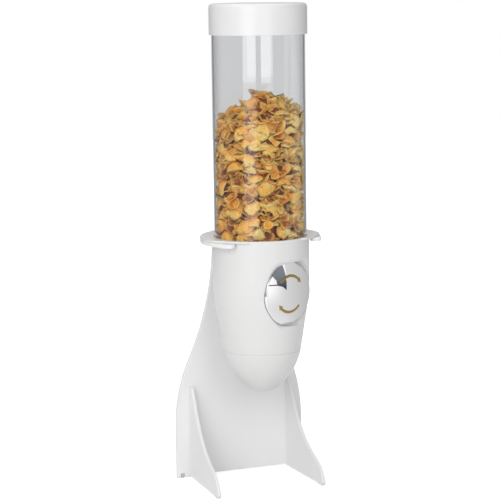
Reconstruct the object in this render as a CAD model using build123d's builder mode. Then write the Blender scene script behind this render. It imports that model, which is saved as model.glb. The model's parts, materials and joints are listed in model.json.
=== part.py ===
from build123d import *
import os
from math import cos, radians, sin, sqrt

os.makedirs("parts", exist_ok=True)

# Driving dimensions, in millimetres, with the floor at z = 0

# Gaps
LIFT_GAP = 0.3  # between a piece that lifts off and what it sits in
RUNNING_GAP = 0.05  # round the turning shaft
PRESS_GAP = 0.03  # between pieces pushed together for good

# The upright axis that the canister, the housing and the yoke share
AXIS_Y = -11.0

# Clear canister
TUBE_R = 50.0
TUBE_WALL = 2.5
TUBE_BOTTOM_Z = 261.0
TUBE_TOP_Z = 524.4
TUBE_EDGE = 0.6

# Push-on lid
LID_R = 52.5
LID_WALL = 2.2
LID_BOTTOM_Z = 496.4
LID_TOP_Z = 529.4
LID_TOP_WALL = 2.6
LID_EDGE = 4.5  # rounding of the lid's upper rim
LID_LIP = 0.5  # rounding of the skirt's lower edge
LID_SEAL_T = 1.8

# Bullet-shaped housing
HOUSING_R = 52.5
HOUSING_WALL = 3.0
RIM_Z = 281.0
LEDGE_Z = 258.3  # step inside the rim that carries the funnel
TAPER_Z = 240.0  # where the straight wall begins to draw in
TAPER_ARC_R = 255.0
TAPER_ANGLE = 8.8
SEAM_Z = 156.5  # parting line between the housing and the nose
SEAM_GROOVE = 0.45

# Rounded nose with the slanted mouth at its back
NOSE_WALL = 2.5
NOSE_ANGLE = 10.3  # lean of the wall just under the seam
FLANK_R = 70.5
FLANK_ANGLE = 49.9  # lean of the wall where the tip begins
MOUTH_START_Y = 3.0  # first edge of the mouth, behind the upright axis
MOUTH_SLOPE = 45.0
SPIGOT_H = 8.0
SPIGOT_WALL = 1.8
SPIGOT_SHELF = 3.0

# Flange round the rim, which rests on the yoke
FLANGE_R = 65.5
FLANGE_T = 2.5
FLANGE_FRONT_Y = -43.8
FLANGE_CORNER_X = 35.5
FLANGE_CORNER_R = 10.0
FLANGE_SLOPE = 0.95  # slant of the flange's two shortened front corners
FLANGE_SHOULDER_R = 24.0

# Horseshoe yoke
YOKE_R = 65.5
YOKE_BORE_R = 53.5
YOKE_T = 4.4
YOKE_LEFT_END = 50.0  # angle from the front at which the left arm ends
YOKE_RIGHT_END = 60.0  # the right arm ends earlier, clear of the knob
YOKE_END_R = 5.4
YOKE_EDGE = 0.8
YOKE_BOTTOM_Z = RIM_Z - FLANGE_T - YOKE_T
YOKE_NECK_W = 56.0
PAD_W = 52.0
PAD_T = 5.0
PAD_H = 42.0
GUSSET_T = 3.0
GUSSET_X = 23.0
GUSSET_H = 34.0
GUSSET_REACH = 16.0
YOKE_SCREW_PLACES = [(x, z) for x in (-16.0, 16.0) for z in (242.0, 262.0)]

# Back plate
PLATE_T = 4.0
PLATE_BACK_Y = HOUSING_R - AXIS_Y  # the object's depth is centred on the origin
PLATE_FRONT_Y = PLATE_BACK_Y - PLATE_T
PLATE_HALF_W = 76.0
PLATE_STRAIGHT_Z = 60.0
SHOULDER_R = 180.0
NECK_R = 320.0
SHOULDER_TURN = 25.0
WING_Z = 0.5  # underside of the wings
PLATE_EDGE = 0.8
RELIEF_Z = 2.0  # underside of the plate between the fins

# Fins
FIN_X = 58.5
FIN_T = 3.6
FIN_SPLAY = 1.8
FIN_TOP_Z = 104.5
FIN_CURVE = [(9.0, 101.0), (28.5, 65.0), (52.0, 39.8), (80.0, 24.2)]
FIN_CURVE_TURN = (66.0, 27.0)  # lean of the front edge below level, at its ends
FIN_TOE = (97.0, 3.4)
FIN_BOTTOM_Z = 1.0
FIN_EDGE = 0.7
TAB_ZS = (26.0, 74.0)
TAB_H = 20.0

# Feet
PLATE_FOOT_X = 69.6
PLATE_FOOT_W = 3.2
PLATE_FOOT_H = 5.4
FOOT_GAP = 0.5
FIN_FOOT_FROM = 82.0
FIN_FOOT_TO = 95.0
FIN_FOOT_H = 2.6

# Turning knob, measured from the upright axis along the shaft
KNOB_TURN = 24.0  # the shaft points this far to the right of straight ahead
KNOB_Z = 221.0
KNOB_R = 34.3
KNOB_BACK = 35.2
KNOB_RIM = 40.3
KNOB_APEX = 43.9
KNOB_WALL = 1.5
KNOB_EDGE = 0.8
SEAT_R = 34.9
SEAT_FLOOR = 34.5
SEAT_WALL = 2.3
SEAT_FLOOR_T = 2.5
CORE_FRONT = 38.8
CORE_BOSS_R = 10.0
CORE_BOSS_FRONT = 41.0

# Arrows on the knob
ARROW_RING_R = 19.6
ARROW_W = 2.4
ARROW_T = 0.3
ARROW_START = 135.0
ARROW_END = 52.0
ARROW_HEAD_L = 5.8
ARROW_HEAD_W = 6.4

# Metering wheel and its chamber
CHAMBER_R = 34.0
CHAMBER_WALL = 1.8
CHAMBER_BACK = -31.0
CHAMBER_FRONT = 31.8
CHAMBER_END_WALL = 2.0
INLET_HALF_W = 26.0
OUTLET_HALF_W = 20.0
WHEEL_HALF_L = 27.6
VANE_COUNT = 6
VANE_R = 33.4
VANE_T = 1.8
VANE_TIP_R = 1.3
SLEEVE_R = 11.0
HUB_R = 9.0
SHAFT_R = 4.0
SHAFT_BACK = -35.5
SHAFT_FRONT = 39.5
SHAFT_FLAT = 0.9
BUSH_R = 6.0
BUSH_FLANGE_R = 8.5
BUSH_FLANGE_T = 0.8
CLIP_AT = -34.2
CLIP_T = 0.8
CLIP_R = 7.0
CLIP_GROOVE_R = 3.3

# Funnel and seal under the canister
FUNNEL_T = 1.4
FUNNEL_MOUTH_R = 46.5
FUNNEL_THROAT_R = 29.0
FUNNEL_THROAT_Z = 246.0
SEAL_T = 1.0

# Screws
SCREW_R = 1.7
SCREW_HEAD_R = 3.5
SCREW_HEAD_H = 1.8
SCREW_L = 8.4
SCREW_SLOT_L = 4.4
SCREW_SLOT_W = 0.9
SCREW_SLOT_D = 0.8
KNOB_SCREW_R = 1.5
KNOB_SCREW_L = 12.0
KNOB_SCREW_HEAD_H = 1.2

# Flakes: height of the heap at four distances from the middle
HEAP_GAP = 0.6
HEAP_CURVE = [(14.0, 434.0), (30.0, 422.0)]
HEAP_PEAK_Z = 438.0
HEAP_WALL_Z = 404.0

# Planes and axes that the pieces share

AXIS = Axis((0, AXIS_Y, 0), (0, 0, 1))
SECTION = Plane((0, AXIS_Y, 0), x_dir=(1, 0, 0), z_dir=(0, -1, 0))
SHAFT_DIR = (sin(radians(KNOB_TURN)), -cos(radians(KNOB_TURN)), 0)
SIDE_DIR = (cos(radians(KNOB_TURN)), sin(radians(KNOB_TURN)), 0)
KNOB_CENTRE = (0, AXIS_Y, KNOB_Z)
SHAFT_AXIS = Axis(KNOB_CENTRE, SHAFT_DIR)
SHAFT_SECTION = Plane(KNOB_CENTRE, x_dir=SIDE_DIR, z_dir=(0, 0, -1))
PLATE_BACK = Plane((0, PLATE_BACK_Y, 0), x_dir=(-1, 0, 0), z_dir=(0, 1, 0))


def level(z):
    """Horizontal plane at height z, centred on the upright axis."""
    return Plane((0, AXIS_Y, z))


def across_shaft(distance):
    """Plane square to the shaft, at a distance along it from the upright axis."""
    x, y, z = KNOB_CENTRE
    origin = (x + distance * SHAFT_DIR[0], y + distance * SHAFT_DIR[1], z)
    return Plane(origin, x_dir=SIDE_DIR, z_dir=SHAFT_DIR)


def fin_plane(side):
    """Upright plane of a fin: x runs forward from the plate, side is -1 for left."""
    lean = radians(FIN_SPLAY)
    forward = (side * sin(lean), -cos(lean), 0)
    return Plane((side * FIN_X, PLATE_FRONT_Y, 0), x_dir=forward, z_dir=(-cos(lean), -side * sin(lean), 0))


# Outline of the housing's wall, a distance inside its outer face


def housing_outline(inset, top_z):
    """Half section of the housing, from the axis out, down the wall and back."""
    radius = HOUSING_R - inset
    straight = Line((radius, top_z), (radius, TAPER_Z))
    bend = JernArc(straight @ 1, (0, -1), TAPER_ARC_R - inset, -TAPER_ANGLE)
    fall = (bend @ 1).Y - SEAM_Z
    run = fall * sin(radians(TAPER_ANGLE)) / cos(radians(TAPER_ANGLE))
    Polyline(bend @ 1, ((bend @ 1).X - run, SEAM_Z), (0, SEAM_Z), (0, top_z), straight @ 0)


bend_run = TAPER_ARC_R * (1 - cos(radians(TAPER_ANGLE)))
bend_fall = TAPER_ARC_R * sin(radians(TAPER_ANGLE))
taper_run = (TAPER_Z - bend_fall - SEAM_Z) * sin(radians(TAPER_ANGLE)) / cos(radians(TAPER_ANGLE))
SEAM_R = HOUSING_R - bend_run - taper_run
SEAM_BORE_R = SEAM_R - HOUSING_WALL / cos(radians(TAPER_ANGLE)) - PRESS_GAP


def nose_outline(inset):
    """Half section of the nose: a flank arc, then a tip arc centred on the axis."""
    lean = radians(NOSE_ANGLE)
    start = (SEAM_R - inset * cos(lean), SEAM_Z + inset * sin(lean))
    flank = JernArc(start, (-sin(lean), -cos(lean)), FLANK_R - inset, NOSE_ANGLE - FLANK_ANGLE)
    tip_r = (flank @ 1).X / cos(radians(FLANK_ANGLE))
    tip = JernArc(flank @ 1, flank % 1, tip_r, FLANK_ANGLE - 90)
    Polyline(tip @ 1, (0, start[1]), start)


# Outline of the back plate, right half


def plate_outline():
    """Right half of the plate: straight wing, shoulder arc, then a neck arc."""
    wing = Line((PLATE_HALF_W, WING_Z), (PLATE_HALF_W, PLATE_STRAIGHT_Z))
    shoulder = JernArc(wing @ 1, (0, 1), SHOULDER_R, SHOULDER_TURN)
    neck = JernArc(shoulder @ 1, shoulder % 1, NECK_R, -SHOULDER_TURN)
    top_z = RIM_Z - FLANGE_T
    Polyline(neck @ 1, ((neck @ 1).X, top_z), (0, top_z), (0, WING_Z), wing @ 0)


# Back plate

with BuildPart() as back_plate:
    with BuildSketch(Plane.XZ.offset(-PLATE_BACK_Y)):
        with BuildLine():
            plate_outline()
        make_face()
        mirror(about=Plane.YZ)
        with Locations((0, WING_Z)):
            Rectangle(2 * FIN_X, 2 * (RELIEF_Z - WING_Z), mode=Mode.SUBTRACT)
        with Locations((-PLATE_FOOT_X, 0), (PLATE_FOOT_X, 0)):
            Rectangle(PLATE_FOOT_W + 2 * FOOT_GAP, 2 * PLATE_FOOT_H, mode=Mode.SUBTRACT)
    extrude(amount=PLATE_T)
    fillet(back_plate.edges().filter_by(GeomType.CIRCLE), radius=PLATE_EDGE)
    with BuildSketch(Plane.XZ.offset(-PLATE_BACK_Y)):
        with Locations([(side * FIN_X, z) for side in (-1, 1) for z in TAB_ZS]):
            Rectangle(FIN_T + PRESS_GAP, TAB_H + 2 * PRESS_GAP)
    extrude(amount=PLATE_T, mode=Mode.SUBTRACT)
    with Locations(PLATE_BACK):
        with Locations(YOKE_SCREW_PLACES):
            CounterSinkHole(SCREW_R + PRESS_GAP, SCREW_HEAD_R + PRESS_GAP, PLATE_T, 90)
back_plate.part.label = "back_plate"
export_step(back_plate.part, "parts/back_plate.step")

# Feet in the notches of the wings

with BuildPart() as plate_feet:
    with BuildSketch(Plane.XZ.offset(-PLATE_BACK_Y)) as foot_faces:
        with Locations((-PLATE_FOOT_X, PLATE_FOOT_H / 2), (PLATE_FOOT_X, PLATE_FOOT_H / 2)):
            Rectangle(PLATE_FOOT_W, PLATE_FOOT_H)
        fillet(foot_faces.vertices(), radius=FOOT_GAP)
    extrude(amount=PLATE_T)
plate_feet.part.label = "plate_feet"
export_step(plate_feet.part, "parts/plate_feet.step")

# Fins, each slotted into the plate by two tabs

for side, name in ((-1, "left_fin"), (1, "right_fin")):
    with BuildPart() as fin:
        with BuildSketch(fin_plane(side)):
            with BuildLine():
                top = Line((-PLATE_T / 4, FIN_TOP_Z), (FIN_CURVE[0][0] / 2, FIN_TOP_Z))
                steep, flat = (radians(angle) for angle in FIN_CURVE_TURN)
                ends = ((cos(steep), -sin(steep)), (cos(flat), -sin(flat)))
                brow = Spline(top @ 1, FIN_CURVE[0], tangents=((1, 0), ends[0]))
                front = Spline(*FIN_CURVE, tangents=ends)
                toe = TangentArc(front @ 1, FIN_TOE, tangent=ends[1])
                Polyline(
                    toe @ 1,
                    (FIN_FOOT_TO, FIN_FOOT_H),
                    (FIN_FOOT_FROM, FIN_FOOT_H),
                    (FIN_FOOT_FROM - FIN_FOOT_H, FIN_BOTTOM_Z),
                    (-PLATE_T / 4, FIN_BOTTOM_Z),
                    top @ 0,
                )
            make_face()
        extrude(amount=FIN_T / 2, both=True)
        split(bisect_by=Plane.XZ.offset(-PLATE_FRONT_Y), keep=Keep.TOP)
        fillet(fin.edges().filter_by(GeomType.BSPLINE), radius=FIN_EDGE)
        with BuildSketch(Plane.XZ.offset(-PLATE_FRONT_Y)):
            with Locations([(side * FIN_X, z) for z in TAB_ZS]):
                Rectangle(FIN_T - PRESS_GAP, TAB_H)
        extrude(amount=-(PLATE_T - PRESS_GAP))
    fin.part.label = name
    export_step(fin.part, f"parts/{name}.step")

# Feet under the toes of the fins

with BuildPart() as fin_feet:
    for side in (-1, 1):
        with BuildSketch(fin_plane(side)):
            with BuildLine():
                Polyline(
                    (FIN_FOOT_TO, FIN_FOOT_H),
                    (FIN_FOOT_FROM, FIN_FOOT_H),
                    (FIN_FOOT_FROM, 0),
                    (FIN_FOOT_TO - FIN_FOOT_H / 2, 0),
                    (FIN_FOOT_TO, FIN_FOOT_H),
                )
            make_face()
        extrude(amount=FIN_T / 2, both=True)
fin_feet.part.label = "fin_feet"
export_step(fin_feet.part, "parts/fin_feet.step")

# Horseshoe yoke with its pad and gussets

with BuildPart() as yoke:
    with BuildSketch(level(YOKE_BOTTOM_Z)) as ring:
        Circle(YOKE_R)
        Rectangle(YOKE_NECK_W, PLATE_FRONT_Y - AXIS_Y, align=(Align.CENTER, Align.MIN))
        Circle(YOKE_BORE_R, mode=Mode.SUBTRACT)
        reach = 2 * YOKE_R
        left = (-reach * sin(radians(YOKE_LEFT_END)), -reach * cos(radians(YOKE_LEFT_END)))
        right = (reach * sin(radians(YOKE_RIGHT_END)), -reach * cos(radians(YOKE_RIGHT_END)))
        with BuildLine():
            Polyline((0, 0), right, (right[0], -reach), (left[0], -reach), left, (0, 0))
        make_face(mode=Mode.SUBTRACT)
        fillet(ring.vertices().sort_by(Axis.Y)[:4], radius=YOKE_END_R)
    extrude(amount=YOKE_T)
    fillet(yoke.faces().sort_by(Axis.Z)[0].edges().filter_by(GeomType.CIRCLE), radius=YOKE_EDGE)
    with BuildSketch(Plane.XZ.offset(-PLATE_FRONT_Y)):
        with Locations((0, YOKE_BOTTOM_Z + YOKE_T / 2)):
            Rectangle(PAD_W, PAD_H, align=(Align.CENTER, Align.MAX))
    extrude(amount=PAD_T)
    for x in (-GUSSET_X, GUSSET_X):
        with BuildSketch(Plane.YZ.offset(x)):
            with BuildLine():
                root_y = PLATE_FRONT_Y - PAD_T / 2
                top_z = YOKE_BOTTOM_Z + YOKE_T / 2
                Polyline(
                    (root_y, top_z),
                    (root_y, top_z - GUSSET_H),
                    (root_y - GUSSET_REACH, top_z - YOKE_T),
                    (root_y - GUSSET_REACH, top_z),
                    (root_y, top_z),
                )
            make_face()
        extrude(amount=GUSSET_T / 2, both=True)
    with Locations(Plane((0, PLATE_FRONT_Y, 0), x_dir=(-1, 0, 0), z_dir=(0, 1, 0))):
        with Locations(YOKE_SCREW_PLACES):
            Hole(SCREW_R + PRESS_GAP, PAD_T)
yoke.part.label = "yoke"
export_step(yoke.part, "parts/yoke.step")

# Countersunk screws that hold the yoke to the plate

with BuildPart() as yoke_screws:
    with Locations(PLATE_BACK):
        with Locations(YOKE_SCREW_PLACES):
            Cylinder(SCREW_R, SCREW_L, align=(Align.CENTER, Align.CENTER, Align.MAX))
            Cone(SCREW_R, SCREW_HEAD_R, SCREW_HEAD_H, align=(Align.CENTER, Align.CENTER, Align.MAX))
    with BuildSketch(PLATE_BACK):
        with Locations(YOKE_SCREW_PLACES):
            Rectangle(SCREW_SLOT_L, SCREW_SLOT_W)
            Rectangle(SCREW_SLOT_W, SCREW_SLOT_L)
    extrude(amount=-SCREW_SLOT_D, mode=Mode.SUBTRACT)
yoke_screws.part.label = "yoke_screws"
export_step(yoke_screws.part, "parts/yoke_screws.step")

# Wall of the round seat that the knob is sunk into, inside the housing's own wall

with BuildPart() as seat_wall:
    with BuildSketch(across_shaft(SEAT_FLOOR - SEAT_FLOOR_T)):
        Circle(SEAT_R + SEAT_WALL)
    extrude(amount=HOUSING_R)
    with BuildSketch(SECTION):
        with BuildLine():
            housing_outline(HOUSING_WALL / 3, LEDGE_Z)
        make_face()
    revolve(axis=AXIS, mode=Mode.INTERSECT)

# Housing with its rim flange and the knob's seat

with BuildPart() as housing_shell:
    with BuildSketch(SECTION):
        with BuildLine():
            housing_outline(0, RIM_Z)
        make_face()
    revolve(axis=AXIS)
    chamfer(housing_shell.edges().sort_by(Axis.Z)[0], length=SEAM_GROOVE)
    with BuildSketch(level(RIM_Z - FLANGE_T)) as flange_face:
        Circle(FLANGE_R)
        with BuildLine():
            out_x = 2 * FLANGE_R
            out_y = FLANGE_FRONT_Y + (out_x - FLANGE_CORNER_X) * FLANGE_SLOPE
            Polyline(
                (-out_x, FLANGE_R),
                (-out_x, out_y),
                (-FLANGE_CORNER_X, FLANGE_FRONT_Y),
                (FLANGE_CORNER_X, FLANGE_FRONT_Y),
                (out_x, out_y),
                (out_x, FLANGE_R),
                (-out_x, FLANGE_R),
            )
        make_face(mode=Mode.INTERSECT)
        corners = flange_face.vertices().group_by(Axis.Y)
        fillet(corners[0], radius=FLANGE_CORNER_R)
        fillet(flange_face.vertices().group_by(Axis.Y)[-1], radius=FLANGE_SHOULDER_R)
    extrude(amount=FLANGE_T)
    with BuildSketch(SECTION):
        with BuildLine():
            housing_outline(HOUSING_WALL, LEDGE_Z)
        make_face()
    revolve(axis=AXIS, mode=Mode.SUBTRACT)
    with BuildSketch(level(LEDGE_Z)):
        Circle(TUBE_R + LIFT_GAP)
    extrude(amount=RIM_Z - LEDGE_Z, mode=Mode.SUBTRACT)
    add(seat_wall.part)
    with BuildSketch(across_shaft(SEAT_FLOOR)):
        Circle(SEAT_R)
    extrude(amount=HOUSING_R, mode=Mode.SUBTRACT)
    with BuildSketch(across_shaft(SEAT_FLOOR)):
        Circle(BUSH_R + PRESS_GAP)
    extrude(amount=-2 * SEAT_FLOOR_T, mode=Mode.SUBTRACT)
housing_shell.part.label = "housing_shell"
export_step(housing_shell.part, "parts/housing_shell.step")

# Nose that closes the housing and lets the flakes out at its back

with BuildPart() as nose_spout:
    with BuildSketch(SECTION):
        with BuildLine():
            nose_outline(0)
        make_face()
    revolve(axis=AXIS)
    chamfer(nose_spout.edges().filter_by(GeomType.CIRCLE).sort_by(Axis.Z)[-1], length=SEAM_GROOVE)
    with BuildSketch(SECTION):
        with BuildLine():
            nose_outline(NOSE_WALL)
        make_face()
    revolve(axis=AXIS, mode=Mode.SUBTRACT)
    with BuildSketch(level(SEAM_Z - SPIGOT_SHELF)):
        Circle(SEAM_BORE_R + NOSE_WALL)
        Circle(SEAM_BORE_R - SPIGOT_WALL, mode=Mode.SUBTRACT)
    extrude(amount=SPIGOT_SHELF)
    with BuildSketch(level(SEAM_Z - SPIGOT_SHELF)):
        Circle(SEAM_BORE_R)
        Circle(SEAM_BORE_R - SPIGOT_WALL, mode=Mode.SUBTRACT)
    extrude(amount=SPIGOT_SHELF + SPIGOT_H)
    with BuildSketch(Plane.YZ):
        with BuildLine():
            tip_z = nose_spout.vertices().sort_by(Axis.Z)[0].Z
            rise = SEAM_R - MOUTH_START_Y
            Polyline(
                (AXIS_Y + MOUTH_START_Y, tip_z),
                (AXIS_Y + SEAM_R, tip_z + rise * sin(radians(MOUTH_SLOPE)) / cos(radians(MOUTH_SLOPE))),
                (AXIS_Y + SEAM_R, tip_z - rise),
                (AXIS_Y + MOUTH_START_Y, tip_z - rise),
                (AXIS_Y + MOUTH_START_Y, tip_z),
            )
        make_face()
    extrude(amount=SEAM_R, both=True, mode=Mode.SUBTRACT)
nose_spout.part.label = "nose_spout"
export_step(nose_spout.part, "parts/nose_spout.step")

# Funnel that hangs from the ledge and sits astride the chamber

with BuildPart() as funnel:
    with BuildSketch(SECTION):
        with BuildLine():
            Polyline(
                (FUNNEL_THROAT_R, FUNNEL_THROAT_Z),
                (FUNNEL_MOUTH_R, LEDGE_Z + FUNNEL_T),
                (TUBE_R + PRESS_GAP, LEDGE_Z + FUNNEL_T),
                (TUBE_R + PRESS_GAP, LEDGE_Z),
                (FUNNEL_MOUTH_R + FUNNEL_T, LEDGE_Z),
                (FUNNEL_THROAT_R + FUNNEL_T, FUNNEL_THROAT_Z),
                (FUNNEL_THROAT_R, FUNNEL_THROAT_Z),
            )
        make_face()
    revolve(axis=AXIS)
    with BuildSketch(across_shaft(-HOUSING_R)):
        Circle(SEAT_R + SEAT_WALL + 2 * PRESS_GAP)
    extrude(amount=2 * HOUSING_R, mode=Mode.SUBTRACT)
funnel.part.label = "funnel"
export_step(funnel.part, "parts/funnel.step")

# Chamber round the metering wheel, open above and below

with BuildPart() as metering_chamber:
    with BuildSketch(across_shaft(CHAMBER_BACK)):
        Circle(CHAMBER_R + CHAMBER_WALL)
    extrude(amount=CHAMBER_FRONT - CHAMBER_BACK)
    with BuildSketch(across_shaft(CHAMBER_BACK + CHAMBER_END_WALL)):
        Circle(CHAMBER_R)
        Rectangle(2 * INLET_HALF_W, 2 * CHAMBER_R, align=(Align.CENTER, Align.MIN))
        Rectangle(2 * OUTLET_HALF_W, 2 * CHAMBER_R, align=(Align.CENTER, Align.MAX))
    extrude(amount=CHAMBER_FRONT - CHAMBER_BACK - 2 * CHAMBER_END_WALL, mode=Mode.SUBTRACT)
    with BuildSketch(across_shaft(CHAMBER_BACK)):
        Circle(BUSH_R + PRESS_GAP)
    extrude(amount=CHAMBER_FRONT - CHAMBER_BACK, mode=Mode.SUBTRACT)
metering_chamber.part.label = "metering_chamber"
export_step(metering_chamber.part, "parts/metering_chamber.step")

# Flanged bushes that carry the shaft in the seat's floor and the chamber's back wall

for name, inner, outer in (
    ("front_bush", CHAMBER_FRONT - CHAMBER_END_WALL, SEAT_FLOOR),
    ("rear_bush", CHAMBER_BACK + CHAMBER_END_WALL, CHAMBER_BACK),
):
    away = 1 if outer > inner else -1
    with BuildPart() as bush:
        with BuildSketch(across_shaft(inner)):
            Circle(BUSH_R)
        extrude(amount=outer - inner)
        with BuildSketch(across_shaft(inner)):
            Circle(BUSH_FLANGE_R)
        extrude(amount=-away * BUSH_FLANGE_T)
        with BuildSketch(across_shaft(inner)):
            Circle(SHAFT_R + RUNNING_GAP)
        extrude(amount=HOUSING_R, both=True, mode=Mode.SUBTRACT)
    bush.part.label = name
    export_step(bush.part, f"parts/{name}.step")

# Soft ring that the canister stands on

with BuildPart() as canister_seal:
    with BuildSketch(level(LEDGE_Z + FUNNEL_T)):
        Circle(TUBE_R + PRESS_GAP)
        Circle(FUNNEL_MOUTH_R, mode=Mode.SUBTRACT)
    extrude(amount=SEAL_T)
canister_seal.part.label = "canister_seal"
export_step(canister_seal.part, "parts/canister_seal.step")

# Shaft with its clip groove, the flat for the knob and a screw hole in its front end

with BuildPart() as drive_shaft:
    with BuildSketch(across_shaft(SHAFT_BACK)):
        Circle(SHAFT_R)
    extrude(amount=SHAFT_FRONT - SHAFT_BACK)
    with BuildSketch(across_shaft(CLIP_AT)):
        Circle(SHAFT_R + RUNNING_GAP)
        Circle(CLIP_GROOVE_R, mode=Mode.SUBTRACT)
    extrude(amount=CLIP_T + 2 * PRESS_GAP, mode=Mode.SUBTRACT)
    with BuildSketch(across_shaft(KNOB_BACK)):
        with Locations((0, SHAFT_R - SHAFT_FLAT)):
            Rectangle(2 * SHAFT_R, SHAFT_R, align=(Align.CENTER, Align.MIN))
    extrude(amount=SHAFT_FRONT - KNOB_BACK, mode=Mode.SUBTRACT)
    with BuildSketch(across_shaft(SHAFT_FRONT)):
        Circle(KNOB_SCREW_R + PRESS_GAP)
    extrude(amount=-KNOB_SCREW_L, mode=Mode.SUBTRACT)
drive_shaft.part.label = "drive_shaft"
export_step(drive_shaft.part, "parts/drive_shaft.step")

# Open ring clip that keeps the shaft in its bushes

with BuildPart() as shaft_clip:
    with BuildSketch(across_shaft(CLIP_AT + PRESS_GAP)):
        Circle(CLIP_R)
        Circle(CLIP_GROOVE_R + PRESS_GAP, mode=Mode.SUBTRACT)
        Rectangle(2 * CLIP_GROOVE_R, 2 * CLIP_R, align=(Align.CENTER, Align.MAX), mode=Mode.SUBTRACT)
    extrude(amount=CLIP_T)
shaft_clip.part.label = "shaft_clip"
export_step(shaft_clip.part, "parts/shaft_clip.step")

# Stiff hub of the metering wheel

with BuildPart() as paddle_hub:
    with BuildSketch(across_shaft(-WHEEL_HALF_L)):
        Circle(HUB_R)
        Circle(SHAFT_R + PRESS_GAP, mode=Mode.SUBTRACT)
    extrude(amount=2 * WHEEL_HALF_L)
paddle_hub.part.label = "paddle_hub"
export_step(paddle_hub.part, "parts/paddle_hub.step")

# Soft vanes in one sleeve over the hub

with BuildPart() as paddle_vanes:
    with BuildSketch(across_shaft(-WHEEL_HALF_L)):
        Circle(SLEEVE_R)
        with PolarLocations((HUB_R + VANE_R) / 2, VANE_COUNT):
            Rectangle(VANE_R - HUB_R - VANE_TIP_R, VANE_T)
        with PolarLocations(VANE_R - VANE_TIP_R, VANE_COUNT):
            Circle(VANE_TIP_R)
        Circle(HUB_R + PRESS_GAP, mode=Mode.SUBTRACT)
    extrude(amount=2 * WHEEL_HALF_L)
paddle_vanes.part.label = "paddle_vanes"
export_step(paddle_vanes.part, "parts/paddle_vanes.step")

# Core that carries the bright cap on the shaft

with BuildPart() as knob_core:
    with BuildSketch(across_shaft(KNOB_BACK + LIFT_GAP)):
        Circle(KNOB_R - KNOB_WALL - PRESS_GAP)
    extrude(amount=CORE_FRONT - KNOB_BACK - LIFT_GAP)
    with BuildSketch(across_shaft(CORE_FRONT)):
        Circle(CORE_BOSS_R)
    extrude(amount=CORE_BOSS_FRONT - CORE_FRONT)
    with BuildSketch(across_shaft(KNOB_BACK)) as shaft_bore:
        Circle(SHAFT_R + PRESS_GAP)
        with Locations((0, SHAFT_R - SHAFT_FLAT + PRESS_GAP)):
            Rectangle(3 * SHAFT_R, SHAFT_R, align=(Align.CENTER, Align.MIN), mode=Mode.SUBTRACT)
    extrude(amount=SHAFT_FRONT + PRESS_GAP - KNOB_BACK, mode=Mode.SUBTRACT)
    with BuildSketch(across_shaft(KNOB_BACK)):
        Circle(KNOB_SCREW_R + PRESS_GAP)
    extrude(amount=HOUSING_R, mode=Mode.SUBTRACT)
knob_core.part.label = "knob_core"
export_step(knob_core.part, "parts/knob_core.step")

with BuildPart() as knob_screw:
    with BuildSketch(across_shaft(CORE_BOSS_FRONT)):
        Circle(KNOB_SCREW_R)
    extrude(amount=-(KNOB_SCREW_L - SCREW_HEAD_H))
    with BuildSketch(across_shaft(CORE_BOSS_FRONT)):
        Circle(2 * KNOB_SCREW_R)
    extrude(amount=KNOB_SCREW_HEAD_H)
knob_screw.part.label = "knob_screw"
export_step(knob_screw.part, "parts/knob_screw.step")

# Bright domed cap


def dome_arc(inset):
    """Half of the dome's section, from its apex out to the knob's radius less the inset."""
    rise = KNOB_APEX - KNOB_RIM
    sphere_r = (KNOB_R**2 + rise**2) / (2 * rise)
    edge_r = KNOB_R - inset
    edge_at = KNOB_APEX - sphere_r + sqrt((sphere_r - inset) ** 2 - edge_r**2)
    return RadiusArc((0, KNOB_APEX - inset), (edge_r, edge_at), sphere_r - inset, short_sagitta=True)


with BuildPart() as knob_cap:
    with BuildSketch(SHAFT_SECTION):
        with BuildLine():
            outside = dome_arc(0)
            inside = dome_arc(KNOB_WALL)
            Line(outside @ 0, inside @ 0)
            Polyline(outside @ 1, (KNOB_R, KNOB_BACK), (KNOB_R - KNOB_WALL, KNOB_BACK), inside @ 1)
        make_face()
    revolve(axis=SHAFT_AXIS)
    rim = knob_cap.edges().filter_by(GeomType.CIRCLE).sort_by(SHAFT_AXIS)
    fillet([edge for edge in rim if abs(edge.radius - KNOB_R) < PRESS_GAP][-1], radius=KNOB_EDGE)
knob_cap.part.label = "knob_cap"
export_step(knob_cap.part, "parts/knob_cap.step")

# Two arrows round the dome that show which way to turn

with BuildSketch() as arrow:
    with BuildLine():
        CenterArc((0, 0), ARROW_RING_R, ARROW_START, ARROW_END - ARROW_START)
    trace(line_width=ARROW_W)
    end = radians(ARROW_END)
    with BuildLine():
        inner_r = ARROW_RING_R - ARROW_HEAD_W / 2
        outer_r = ARROW_RING_R + ARROW_HEAD_W / 2
        head_end = end - ARROW_HEAD_L / ARROW_RING_R
        point = (ARROW_RING_R * cos(head_end), ARROW_RING_R * sin(head_end))
        inner = (inner_r * cos(end), inner_r * sin(end))
        outer = (outer_r * cos(end), outer_r * sin(end))
        Polyline(inner, outer, point, inner)
    make_face()

with BuildPart() as direction_arrows:
    with BuildSketch(across_shaft(KNOB_RIM)):
        with PolarLocations(0, 2):
            add(arrow.sketch)
    extrude(amount=KNOB_APEX - KNOB_RIM + ARROW_T)
    with BuildSketch(SHAFT_SECTION):
        with BuildLine():
            outside = dome_arc(-ARROW_T)
            inside = dome_arc(0)
            Line(outside @ 0, inside @ 0)
            Line(outside @ 1, inside @ 1)
        make_face()
    revolve(axis=SHAFT_AXIS, mode=Mode.INTERSECT)
direction_arrows.part.label = "direction_arrows"
export_step(direction_arrows.part, "parts/direction_arrows.step")

# Clear canister, open at both ends

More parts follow.
